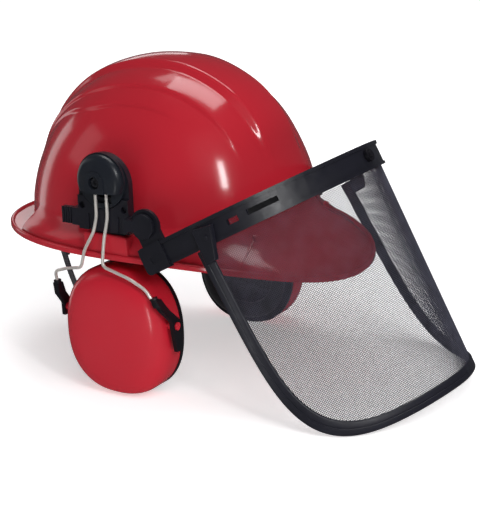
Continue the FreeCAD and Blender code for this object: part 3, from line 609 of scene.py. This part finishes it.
def peak_rib(shell, side):
    """The fine raised line that runs out over the peak from each lug."""
    path = []
    for share in np.linspace(0, 1, 24):
        x, y = RIB_FROM[0] + RIB_RUN[0] * share, side * (RIB_FROM[1] + RIB_RUN[1] * share)
        _, where, _, _ = shell.ray_cast(Vector((x, y, 0.2)), Vector((0, 0, -1)))
        path.append(where)
    path = np.array(path)
    tangent = unit(np.gradient(path, axis=0))
    across = unit(np.cross(tangent, [0, 0, 1.0]))
    turn = np.linspace(0, 2 * np.pi, 8, endpoint=False)
    ring = np.stack([RIB_HALF_WIDE * np.cos(turn), RIB_HALF_HIGH * np.sin(turn)], -1)
    rows = sweep(path, across, np.cross(across, tangent), ring)
    return make("rib", rows.reshape(-1, 3), grid_faces(len(rows), 8, caps=True))


SOCKET_X = (-0.015, 0.024)
SOCKET_Y = (0.092, 0.1054)
SOCKET_Z = (-0.001, 0.0164)
LUG_X = (0.094, 0.1045)
LUG_Y = 0.05175
LUG_Z = (-0.004, 0.015)
LUG_HALF = 0.0026
LUG_TURN = math.radians(32)
# out of the wall, along it and up, from the foot of the inner wall
BOSS_LOW = (-0.0042, -0.0105, UNDERSIDE)
BOSS_HIGH = (0.0012, 0.0105, 0.0105)


def add_socket(shell, side):
    """The block on the skirt that the ear defender's adapter pushes into."""
    y = sorted((side * SOCKET_Y[0], side * SOCKET_Y[1]))
    socket = block("socket", (SOCKET_X[0], y[0], SOCKET_Z[0]), (SOCKET_X[1], y[1], SOCKET_Z[1]), 0.0018)
    combine(shell, socket, "UNION")


def add_lug(shell, side):
    """The upright lug at the root of the peak."""
    low = (LUG_X[0], side * LUG_Y - LUG_HALF, LUG_Z[0])
    high = (LUG_X[1], side * LUG_Y + LUG_HALF, LUG_Z[1])
    combine(shell, block("lug", low, high, 0.0010, side * LUG_TURN), "UNION")


def add_boss(shell, clip_node):
    """The thicker pad inside the wall that a strap clip hooks over."""
    low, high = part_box(clip_node)
    middle = (low + high) / 2
    power = DOME_POWER / 2
    angle = math.atan2(spow(middle.y / DOME_HALF, power), spow(middle.x / DOME_REAR, power))
    here, heading = wall_place(angle)
    boss = block("boss", BOSS_LOW, BOSS_HIGH, 0.0004, 0.0, 1)
    boss.data.transform(Matrix.Translation((here[0], here[1], 0)) @ Matrix.Rotation(heading, 4, "Z"))
    combine(shell, boss, "UNION")


def build_shell():
    """The shell with its ribs, sockets, lugs and bosses joined on and the lanyard holes cut."""
    shell = shell_mesh()
    for _, side in SIDES:
        bpy.context.view_layer.update()
        combine(shell, peak_rib(shell, side), "UNION")
    for name, side in SIDES:
        add_socket(shell, side)
        add_lug(shell, side)
        for clip in ("front", "side", "rear"):
            add_boss(shell, f"{name}_strap_clip_{clip}")
    for mount in frame["record"]["mounts"]:
        if "lanyard" in mount["name"]:
            cut_lanyard_hole(shell, mount)
    shade(shell.data, 28.0)
    wear(shell, "helmet", "shell_red", "shell")


build_shell()


# --------------------------------------------------------------------- cup

# how far out from the head each row lies, in millimetres, and its size beside the full outline
CUP_STATIONS = ((84.0, 0.975), (86.5, 0.982), (91.0, 0.985), (95.0, 0.986), (98.0, 0.985), (101.0, 0.975),
                (103.5, 0.958), (105.8, 0.932), (107.6, 0.900), (109.2, 0.856), (110.6, 0.80), (111.8, 0.728),
                (112.8, 0.63), (113.5, 0.51), (113.95, 0.38), (114.2, 0.24), (114.3, 0.10))
FOAM_STATIONS = ((88.0, 0.30), (88.0, 0.62), (88.3, 0.76), (89.2, 0.80), (93.0, 0.80), (96.8, 0.80),
                 (97.8, 0.76), (98.0, 0.62))
# the cushion's rows, from the cup's side at 0 to the head's side at 1 and back
CUSHION_STATIONS = ((0.0, 0.885), (0.25, 0.90), (0.6, 0.895), (0.85, 0.86), (1.0, 0.79),
                    (1.0, 0.71), (0.85, 0.645), (0.5, 0.615), (0.0, 0.615))
CUP_POWER = 2.35
CUP_WALL = 3.0
# the size of the black rim beside the full outline
RIM_SHARE = 0.985
YOKE_PIN_RADIUS = 0.003
YOKE_PIN_LENGTH = 0.012
YOKE_PIN_Y = 0.098


def cup_ring(name, y, scale, inset=0.0, count=160):
    """The cup's rounded outline at a distance out from the head, in metres."""
    low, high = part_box(name + "_cup_rim")
    middle = (low + high) / 2
    half_w = (high.x - low.x) / 2 / RIM_SHARE
    half_h = (high.z - low.z) / 2 / RIM_SHARE
    turn = np.linspace(0, 2 * np.pi, count, endpoint=False)
    side = -1 if name == "right" else 1
    x = middle.x + (half_w * scale - inset) * spow(np.cos(turn), 2 / CUP_POWER)
    z = middle.z + (half_h * scale - inset) * spow(np.sin(turn), 2 / CUP_POWER)
    return np.stack([x, np.full_like(x, side * y), z], -1)


def build_cup(name, side):
    """A cup: its outer skin, its inner skin and the bosses of the two yoke pins."""
    rows = [cup_ring(name, y * MM, scale) for y, scale in reversed(CUP_STATIONS)]
    low_y, low_scale = CUP_STATIONS[0]
    rows.append(cup_ring(name, low_y * MM, low_scale, CUP_WALL * MM))
    rows += [cup_ring(name, (y - CUP_WALL) * MM, scale, CUP_WALL * MM) for y, scale in CUP_STATIONS[1:-2]]
    points = np.stack(rows)
    if side > 0:
        points = points[:, ::-1]
    cup = make(name + "_cup_shell", points.reshape(-1, 3), grid_faces(len(rows), points.shape[1], caps=True))
    low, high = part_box(name + "_cup")
    axis_z = joint_place(name + "_cup_tilt")[2]
    for start, end in ((low.x, low.x + YOKE_PIN_LENGTH), (high.x - YOKE_PIN_LENGTH, high.x)):
        place = ((start + end) / 2, side * YOKE_PIN_Y, axis_z)
        combine(cup, pin(YOKE_PIN_RADIUS, end - start, place, 40, (0, math.pi / 2, 0)), "UNION")
    wear(cup, name + "_muff", "cup_red", name + "_cup")


def inflate(obj, pressure, cap, frames, voxel=0.0025):
    """Swell a soft piece with a short cloth run, never moving a point further than cap."""
    remesh = obj.modifiers.new("remesh", "REMESH")
    remesh.mode = "VOXEL"
    remesh.voxel_size = voxel
    apply_modifiers(obj)
    rest = np.array([v.co for v in obj.data.vertices], float)
    cloth_mod = obj.modifiers.new("cloth", "CLOTH")
    settings = cloth_mod.settings
    settings.use_pressure = True
    settings.uniform_pressure_force = pressure
    settings.effector_weights.gravity = 0
    settings.quality = 6
    settings.tension_stiffness = 25
    settings.bending_stiffness = 2
    scene = bpy.context.scene
    for number in range(1, frames + 1):
        scene.frame_set(number)
    apply_modifiers(obj)
    scene.frame_set(1)
    now = np.array([v.co for v in obj.data.vertices], float)
    move = now - rest
    size = np.linalg.norm(move, axis=1, keepdims=True)
    now = rest + move * np.minimum(1, cap / np.maximum(size, 1e-9))
    obj.data.vertices.foreach_set("co", now.ravel())
    smooth_mod = obj.modifiers.new("relax", "SMOOTH")
    smooth_mod.iterations = 4
    level = obj.modifiers.new("fine", "SUBSURF")
    level.levels = 1
    level.render_levels = 1
    apply_modifiers(obj, 80)


def build_cushion(name, side_count=120):
    """The soft ring between the cup and the head."""
    low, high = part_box(name + "_cushion")
    face, back = sorted((abs(low.y), abs(high.y)))
    rows = [cup_ring(name, back - (back - face) * share, scale, count=side_count)
            for share, scale in CUSHION_STATIONS]
    points = np.stack(rows)
    pad = make(name + "_cushion_pad", points.reshape(-1, 3), grid_faces(len(rows), side_count, loop=True))
    inflate(pad, pressure=4.0, cap=0.0012, frames=14)
    wear(pad, name + "_muff", "cushion_vinyl", name + "_cushion")


def build_foam(name, side_count=80):
    """The foam disc in the cup."""
    rows = [cup_ring(name, y * MM, scale, count=side_count) for y, scale in FOAM_STATIONS]
    points = np.stack(rows)
    pad = make(name + "_foam_pad", points.reshape(-1, 3), grid_faces(len(rows), side_count, caps=True))
    level = pad.modifiers.new("fine", "SUBSURF")
    level.levels = 1
    level.render_levels = 1
    apply_modifiers(pad, 60)
    wear(pad, name + "_muff", "foam", name + "_cup_foam")


for side_name, sign in SIDES:
    build_cup(side_name, sign)
    build_cushion(side_name)
    build_foam(side_name)


# ------------------------------------------------------------------- visor

PIVOT = joint_place("visor_tilt")
VISOR_TURN = math.radians(28.4)
# the sheet's top edge behind the band, the level its rows count from and its depth below that
MESH_TOP, MESH_MID, MESH_DEPTH = -0.018, -0.023, 0.1765
# the power of the rounded lower corners
CORNER = 5.4
SIDE_SPAN = 0.140
# how far the sheet's middle lies inside its plan line
SET_IN = 0.0004
PITCH = 0.0012
WIRE = 0.00019
WEAVE = 0.00017
WOVEN_INSET = 0.004
EDGE_WIDE = 0.010
EDGE_START = 0.0097
EDGE_INSET = 0.009
# in from the edging's back and out from its middle, in millimetres, for one of its two like halves
EDGE_HALF = ((0.0, 0.0), (0.15, 0.9), (0.6, 1.45), (1.3, 1.7), (4.4, 1.7), (4.7, 1.4), (5.3, 1.4), (5.6, 1.7),
             (8.9, 1.7), (9.6, 1.45), (10.0, 0.9), (9.4, 0.5))
SLOT_FROM_X, SLOT_TO_X = 0.0712, 0.0881
SLOT_LEVEL = -0.0226
# half thickness and half height of the slot's sheet of painted shade
SHADE_SHEET_HALF_THICK = 0.00004
SHADE_SHEET_HALF_HIGH = 0.00195
PLAN_POINTS = 1201


def plan(bend_x, tip, half, power, side_x):
    """Evenly spaced plan points of the visor from its right side edge round to its left."""
    turn = np.linspace(-np.pi / 2, np.pi / 2, 4001)
    x = bend_x + (tip - bend_x) * np.abs(np.cos(turn)) ** (2 / power)
    y = half * spow(np.sin(turn), 2 / power)
    keep = x >= side_x
    x, y = x[keep], y[keep]
    if side_x < bend_x:
        x = np.concatenate([[side_x], x, [side_x]])
        y = np.concatenate([[-half], y, [half]])
    run = np.concatenate([[0], np.cumsum(np.hypot(np.diff(x), np.diff(y)))])
    want = np.linspace(0, run[-1], PLAN_POINTS)
    return np.stack([np.interp(want, run, x), np.interp(want, run, y)], -1)


BAND_LINE = plan(bend_x=0.032, tip=0.1205, half=0.1079, power=1.6, side_x=0.0293)
BAND_FACE = plan(bend_x=0.032, tip=0.12190, half=0.10930, power=1.6, side_x=0.0293)
FREE_LINE = plan(bend_x=0.0014, tip=0.117, half=0.120, power=1.74, side_x=0.038)


def on_line(line, place):
    """Points of a plan line at fractional places along it."""
    steps = np.arange(PLAN_POINTS)
    return np.stack([np.interp(place, steps, line[:, k]) for k in (0, 1)], -1)


def sheet(share, depth):
    """A point of the sheet and its outward normal: share -1..1 round it, depth down it."""
    place = (share + 1) / 2 * (PLAN_POINTS - 1)
    ahead = np.clip(place + 2, 0, PLAN_POINTS - 1)
    behind = np.clip(place - 2, 0, PLAN_POINTS - 1)
    blend = (depth / MESH_DEPTH)[..., None]
    flat = on_line(BAND_LINE, place) * (1 - blend) + on_line(FREE_LINE, place) * blend
    band_run = on_line(BAND_LINE, ahead) - on_line(BAND_LINE, behind)
    free_run = on_line(FREE_LINE, ahead) - on_line(FREE_LINE, behind)
    tangent = band_run * (1 - blend) + free_run * blend
    points = np.concatenate([flat, (MESH_MID - depth)[..., None]], -1)
    normal = unit(np.stack([tangent[..., 1], -tangent[..., 0], np.zeros_like(share)], -1))
    return points, normal


def tilted(points):
    """Turn points or headings from the visor's own frame by the angle it rests at."""
    c, s = math.cos(VISOR_TURN), math.sin(VISOR_TURN)
    x, z = points[..., 0], points[..., 2]
    return np.stack([x * c - z * s, points[..., 1], x * s + z * c], -1)


def to_row(points):
    """From the visor's own frame, pivot at its origin and band level, to the row frame."""
    return tilted(points) + np.array([PIVOT[0], 0, PIVOT[2]])


def outline(along, inset):
    """The sheet's edge as (share, depth), along -1..1 from the right top round to the left top."""
    turn = (1 - np.abs(along)) * np.pi / 2
    side, deep = 1 - inset / SIDE_SPAN, MESH_DEPTH - inset
    share = side * np.cos(turn) ** (2 / CORNER)
    return np.sign(along) * share, deep * np.sin(turn) ** (2 / CORNER)


def tube(line, normal, radius):
    """Four-sided wire round a line."""
    tangent = unit(np.gradient(line, axis=0))
    across = unit(np.cross(tangent, normal))
    ring = ((radius, 0), (0, radius), (-radius, 0), (0, -radius))
    return sweep(line, across, normal, ring)


def woven(share, depth, wave):
    """One wire of the sheet, waving over and under the wires that it crosses."""
    line, normal = sheet(share, depth)
    return tube(to_row(line + normal * (wave[:, None] * WEAVE - SET_IN)), tilted(normal), WIRE)


def build_wire_mesh():
    """The woven sheet, wire by wire."""
    side, deep = 1 - WOVEN_INSET / SIDE_SPAN, MESH_DEPTH - WOVEN_INSET
    length = np.hypot(*np.diff(BAND_LINE, axis=0).T).sum()
    uprights = int(length / PITCH / 2) * 2
    shares = (np.arange(uprights) + 0.5) / uprights * 2 - 1
    depths = np.arange(MESH_MID - MESH_TOP, deep, PITCH)
    wires = []
    for i, share in enumerate(shares):
        if abs(share) >= side:
            continue
        limit = deep * (1 - (abs(share) / side) ** CORNER) ** (1 / CORNER)
        d = depths[depths < limit]
        wires.append(woven(np.full(len(d), share), d, np.where((np.arange(len(d)) + i) % 2, 1.0, -1.0)))
    for j, depth in enumerate(depths):
        reach = side * (1 - (max(depth, 0) / deep) ** CORNER) ** (1 / CORNER)
        keep = np.where(np.abs(shares) < reach)[0]
        if len(keep) > 3:
            wires.append(woven(shares[keep], np.full(len(keep), depth), np.where((keep + j) % 2, -1.0, 1.0)))
    faces, used = [], 0
    for rows in wires:
        faces += [tuple(i + used for i in face) for face in grid_faces(len(rows), 4, caps=True)]
        used += len(rows) * 4
    points = np.concatenate([rows.reshape(-1, 3) for rows in wires])
    mesh = make("visor_wire_mesh", points, faces, 180)
    wear(mesh, "visor", "wire_mesh", "visor_mesh")


def build_edging():
    """The channel-shaped edging round the sheet's two sides and its free edge."""
    fine = np.linspace(-1, 1, 6001)
    share, depth = outline(fine, 0.0)
    line, _ = sheet(share, depth)
    run = np.concatenate([[0], np.cumsum(np.linalg.norm(np.diff(line, axis=0), axis=1))])
    start = np.interp(EDGE_START, depth[:1500], run[:1500])
    along = np.interp(np.linspace(start, run[-1] - start, 420), run, fine)
    outer, normal = sheet(*outline(along, 0.0))
    inner, _ = sheet(*outline(along, EDGE_INSET))
    width = np.linalg.norm(inner - outer, axis=1, keepdims=True)
    across = (inner - outer) / width
    half = list(EDGE_HALF)
    profile = np.array(half + [(a, -h) for a, h in half[:0:-1]]) * MM
    reach = profile[None, :, :1] * (width / EDGE_WIDE)[:, None, :]
    points = (outer - normal * SET_IN)[:, None, :] + across[:, None, :] * reach
    points = to_row(points + normal[:, None, :] * profile[None, :, 1:])
    faces = grid_faces(len(points), len(profile), caps=True)
    rim = make("visor_edge_channel", points.reshape(-1, 3), faces, 40)
    wear(rim, "visor", "rubber_edging", "visor_edging")


def build_slot_shade_sheet(name, side):
    """A near-black sheet of painted shade on the floor of the blind slot in the brow band, a hair above the
    CAD recess.
    """
    x, y = BAND_FACE[:, 0], BAND_FACE[:, 1]
    line = BAND_FACE[(x > SLOT_FROM_X) & (x < SLOT_TO_X) & (y * side > 0)]
    path = np.concatenate([line, np.full((len(line), 1), SLOT_LEVEL)], 1)
    up = np.array([[0, 0, 1.0]]) + 0 * path
    across = unit(np.cross(np.gradient(path, axis=0), up))
    t, h = SHADE_SHEET_HALF_THICK, SHADE_SHEET_HALF_HIGH
    rows = to_row(sweep(path, across, up, ((-t, -h), (t, -h), (t, h), (-t, h))))
    shade_sheet = make(name + "_slot_shade_sheet", rows.reshape(-1, 3), grid_faces(len(rows), 4, caps=True))
    wear(shade_sheet, "visor", "dark_plastic")
    # the near-black colour is painted shade on the slot's floor
    shade_sheet.data.materials[0] = SLOT_PAINTED_SHADE


build_wire_mesh()
build_edging()
for side_name, sign in SIDES:
    build_slot_shade_sheet(side_name, sign)


# ------------------------------------------------------------ soft harness

def tape_profile(width, thick):
    """A flat woven tape's section with rounded edges."""
    w, t = width / 2, thick / 2
    return ((-w, 0), (-w * 0.97, t * 0.7), (-w * 0.92, t), (-w * 0.5, t), (0, t), (w * 0.5, t), (w * 0.92, t),
            (w * 0.97, t * 0.7), (w, 0), (w * 0.97, -t * 0.7), (w * 0.92, -t), (w * 0.5, -t), (0, -t),
            (-w * 0.5, -t), (-w * 0.92, -t), (-w * 0.97, -t * 0.7))


STRAP_WIDTH = 0.020
STRAP_THICK = 0.0012


def crown_strap(node, lean):
    """A strap over the crown: lean is 0 for the one straight across and 1 or -1 for a diagonal."""
    low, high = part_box(node)
    span_x, span_y = high.x - low.x, high.y - low.y
    heading, length = np.array([0.0, 1.0, 0.0]), span_y
    if lean:
        # the box holds the tape's corners too, so the diagonal is found in a few rounds
        angle = 0.6
        for _ in range(40):
            run_x = span_x - STRAP_WIDTH * math.sin(angle)
            run_y = span_y - STRAP_WIDTH * math.cos(angle)
            angle = math.atan2(run_y, run_x)
        length = math.hypot(span_y - STRAP_WIDTH * math.cos(angle), span_x - STRAP_WIDTH * math.sin(angle))
        heading = np.array([math.cos(angle), lean * math.sin(angle), 0.0])
    middle = np.array([(low.x + high.x) / 2, (low.y + high.y) / 2, low.z])
    turn = np.linspace(0, np.pi, 97)
    flat = spow(np.cos(turn), 0.9) * (length / 2 - STRAP_THICK / 2)
    rise = (high.z - low.z - STRAP_THICK / 2) * np.abs(np.sin(turn)) ** 0.9
    path = middle + heading * flat[:, None] + np.array([0, 0, 1.0]) * rise[:, None]
    tangent = unit(np.gradient(path, axis=0))
    across = np.cross(heading, [0, 0, 1.0])[None, :] + 0 * path
    rows = sweep(path, across, unit(np.cross(across, tangent)), tape_profile(STRAP_WIDTH, STRAP_THICK))
    strap = make(node + "_tape", rows.reshape(-1, 3), grid_faces(len(rows), rows.shape[1], caps=True), 50)
    wear(strap, "helmet", "webbing", node)


CHIN_THICK = 0.0016


def build_chin_strap():
    """The elastic that hangs between the two chin anchors."""
    low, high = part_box("chin_strap")
    share = np.linspace(-1, 1, 121)
    x = (low.x + high.x) / 2
    half = (high.y - low.y - CHIN_THICK) / 2
    z = high.z - (high.z - low.z - CHIN_THICK / 2) * (1 - np.abs(share) ** 3)
    path = np.stack([np.full_like(share, x), share * half, z], -1)
    tangent = unit(np.gradient(path, axis=0))
    across = np.array([[1.0, 0, 0]]) + 0 * path
    rows = sweep(path, across, unit(np.cross(across, tangent)), tape_profile(high.x - low.x, CHIN_THICK))
    strap = make("chin_tape", rows.reshape(-1, 3), grid_faces(len(rows), rows.shape[1], caps=True), 50)
    wear(strap, "helmet", "elastic_black", "chin_strap")


HEADBAND_WALL = 0.0037
PAD_SET_IN = 0.0006


def pad_section(h):
    """A pad's section, h from its middle to its top edge: out from its line and up."""
    return ((-0.0013, h * 0.8), (-0.0005, h), (0.0006, h * 0.96), (0.0011, h * 0.7), (0.0013, 0),
            (0.0011, -h * 0.7), (0.0006, -h * 0.96), (-0.0005, -h), (-0.0013, -h * 0.8),
            (-0.0018, -h * 0.3), (-0.0018, h * 0.3))


def padded_arc(node, name, front):
    """A soft pad along the inside of the headband, from the node's own box."""
    low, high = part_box(node)
    _, band_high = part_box("headband")
    a, b = band_high.x - HEADBAND_WALL, band_high.y - HEADBAND_WALL
    if front:
        limit = math.acos(min(1, (low.x + 0.002) / a))
        turn = np.linspace(-limit, limit, 90)
    else:
        limit = math.asin(min(1, (high.y - 0.0015) / b))
        turn = np.linspace(math.pi - limit, math.pi + limit, 50)
    path = np.stack([a * np.cos(turn), b * np.sin(turn), np.full_like(turn, (low.z + high.z) / 2)], -1)
    out = unit(np.stack([np.cos(turn) / a, np.sin(turn) / b, 0 * turn], -1))
    up = np.array([[0, 0, 1.0]]) + 0 * path
    section = pad_section((high.z - low.z) / 2 - 0.0008)
    rows = sweep(path - out * PAD_SET_IN, out, up, section)
    pad = make(name, rows.reshape(-1, 3), grid_faces(len(rows), len(section), caps=True))
    inflate(pad, pressure=3.0, cap=0.0009, frames=10, voxel=0.0016)
    wear(pad, "helmet", "sweatband_foam", node)


crown_strap("crown_strap_side", 0)
crown_strap("crown_strap_right", 1)
crown_strap("crown_strap_left", -1)
build_chin_strap()
padded_arc("sweatband", "sweatband_pad", True)
padded_arc("nape_pad", "nape_cushion", False)


# ------------------------------------------------------------- bent wires

WIRE_RADIUS = 0.0012
WIRE_SPACING = 0.0006
# the corners of each right-hand wire, from the rocker down to its yoke, in millimetres
WIRE_CORNERS = {
    "wire_rear": ((-0.5, -106.6, 61.7), (-0.5, -106.6, 30), (-1.6, -109.5, 19), (-10.5, -110.5, 4),
                  (-15, -109.5, -10), (-33, -104, -14.5), (-48, -100, -20), (-46.6, -98.6, -33)),
    "wire_front": ((9.3, -106.6, 61.7), (9.3, -106.6, 30), (7.6, -110, 14), (6.2, -112, -5.5),
                   (29, -111, -12), (41.6, -109, -19.1), (49.4, -108.1, -30.2)),
}


def rounded_route(corners, bend=0.004):
    """Evenly spaced points along straight runs joined by true arcs."""
    route = [corners[0]]
    for before, here, after in zip(corners, corners[1:], corners[2:]):
        back, ahead = before - here, after - here
        reach = min(bend, 0.45 * np.linalg.norm(back), 0.45 * np.linalg.norm(ahead))
        start, end = here + unit(back) * reach, here + unit(ahead) * reach
        weight = math.sin(math.acos(float(unit(back) @ unit(ahead))) / 2)
        for t in np.linspace(0, 1, 13):
            shares = np.array([(1 - t) ** 2, 2 * weight * t * (1 - t), t ** 2])
            route.append((shares[0] * start + shares[1] * here + shares[2] * end) / shares.sum())
    route = np.array(route + [corners[-1]])
    run = np.concatenate([[0], np.cumsum(np.linalg.norm(np.diff(route, axis=0), axis=1))])
    want = np.linspace(0, run[-1], int(run[-1] / WIRE_SPACING))
    return np.stack([np.interp(want, run, route[:, k]) for k in range(3)], -1)


def build_wire(name, side, part):
    """One bent steel wire of an ear defender."""
    corners = np.array(WIRE_CORNERS[part], float) * MM * np.array([1, -side, 1])
    path = rounded_route(corners)
    tangent = unit(np.gradient(path, axis=0))
    across = unit(np.cross(tangent, [0, 1.0, 0]))
    turn = np.linspace(0, 2 * np.pi, 20, endpoint=False)
    ring = np.stack([np.cos(turn), np.sin(turn)], -1) * WIRE_RADIUS
    rows = sweep(path, across, np.cross(across, tangent), ring)
    wire = make(f"{name}_{part}_drawn", rows.reshape(-1, 3), grid_faces(len(rows), 20, caps=True), 60)
    wear(wire, name + "_hanger", "steel", f"{name}_{part}")


for side_name, sign in SIDES:
    for part in WIRE_CORNERS:
        build_wire(side_name, sign, part)


# -------------------------------------------------------------- hard parts

SLOT_OF = {s["node"]: s["material_slot"] for s in frame["record"]["subparts"]}
SINGLE_PARTS = ("headband", "nape_housing", "nape_knob", "chin_slider", "visor_band", "visor_front_stud")
PAIRED_PARTS = ("strap_clip_front", "strap_clip_side", "strap_clip_rear", "chin_anchor", "adapter_base",
                "turntable", "rocker", "yoke_front", "yoke_rear", "cup_rim", "slide_bar", "visor_pin",
                "visor_clip", "pivot_screw")
for hard in SINGLE_PARTS + tuple(f"{side_name}_{part}" for side_name, _ in SIDES for part in PAIRED_PARTS):
    eased(hard, SLOT_OF[hard])


# ------------------------------------------------------------------- stage

def pale_floor():
    """A pale floor that brightens to plain white away from the object."""
    low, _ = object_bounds()
    z = low.z - 0.0005
    floor = make("floor", [(-6, -6, z), (6, -6, z), (6, 6, z), (-6, 6, z)], [(0, 1, 2, 3)])
    p = Paint("pale_floor", (0.93, 0.93, 0.935), 0.8, Specular_IOR_Level=0.1)
    p.vary_color(p.noise(3, 2), 0.99, 1.01)
    far = p.node("ShaderNodeTexGradient", gradient_type="SPHERICAL")
    link(p.tree, p.stretch((0.45, 0.45, 0.0)), far.inputs["Vector"])
    glow = p.node("ShaderNodeMapRange", From_Min=0.95, From_Max=0.55, To_Min=0.52, To_Max=0.98)
    link(p.tree, far.outputs["Fac"], glow.inputs["Value"])
    link(p.tree, glow.outputs["Result"], p.shader.inputs["Emission Strength"])
    p.shader.inputs["Emission Color"].default_value = (1, 1, 1, 1)
    floor.data.materials.append(p.material)
    floor.visible_glossy = False
    floor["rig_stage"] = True


def white_surround():
    """A white backdrop for the camera that lights the object only a little."""
    world = bpy.data.worlds.new("studio")
    bpy.context.scene.world = world
    world.use_nodes = True
    tree = world.node_tree
    backdrop = tree.nodes["Background"]
    backdrop.inputs["Color"].default_value = (0.93, 0.95, 1.0, 1)
    path = tree.nodes.new("ShaderNodeLightPath")
    ease = tree.nodes.new("ShaderNodeMapRange")
    ease.inputs["To Min"].default_value = 0.08
    ease.inputs["To Max"].default_value = 1.15
    link(tree, path.outputs["Is Camera Ray"], ease.inputs["Value"])
    link(tree, ease.outputs["Result"], backdrop.inputs["Strength"])


def soft_light(name, azimuth, height, distance, size, power, mirrored=True, scattered=True,
               aim=(0.03, 0, 0.04)):
    """A rectangular soft light: its direction from the aim in degrees, then metres and watts."""
    a, e = math.radians(azimuth), math.radians(height)
    way = Vector((math.cos(a) * math.cos(e), math.sin(a) * math.cos(e), math.sin(e)))
    data = bpy.data.lights.new(name, "AREA")
    data.shape = "RECTANGLE"
    data.size, data.size_y = size
    data.energy = power
    lamp = bpy.data.objects.new(name, data)
    lamp.location = Vector(aim) + way * distance
    lamp.rotation_mode = "QUATERNION"
    lamp.rotation_quaternion = way.to_track_quat("Z", "Y")
    lamp.visible_camera = False
    lamp.visible_glossy = mirrored
    lamp.visible_diffuse = scattered
    bpy.context.scene.collection.objects.link(lamp)


pale_floor()
white_surround()
soft_light("roof_window", 92, 77, 1.6, (1.05, 0.55), 8.8)
soft_light("roof_window_end", 142, 60, 1.6, (0.36, 0.30), 0.7)
soft_light("front_strip", -33, 29, 1.5, (0.15, 0.46), 5)
soft_light("front_key", -38, 44, 2.0, (1.5, 1.1), 18, mirrored=False)
soft_light("top_soft", 40, 75, 2.0, (1.8, 1.8), 3, mirrored=False)
soft_light("side_fill", -154, 24, 1.8, (0.5, 0.6), 0.55)
soft_light("rear_wall", 176, 3, 1.6, (0.35, 1.0), 1.5)
soft_light("rear_low", 131, 15, 1.8, (0.5, 0.2), 0.5)
soft_light("cup_glint", -72, -2, 0.22, (0.014, 0.10), 0.045, scattered=False, aim=(0.043, -0.11, -0.04))
bpy.context.scene.view_settings.view_transform = "Standard"
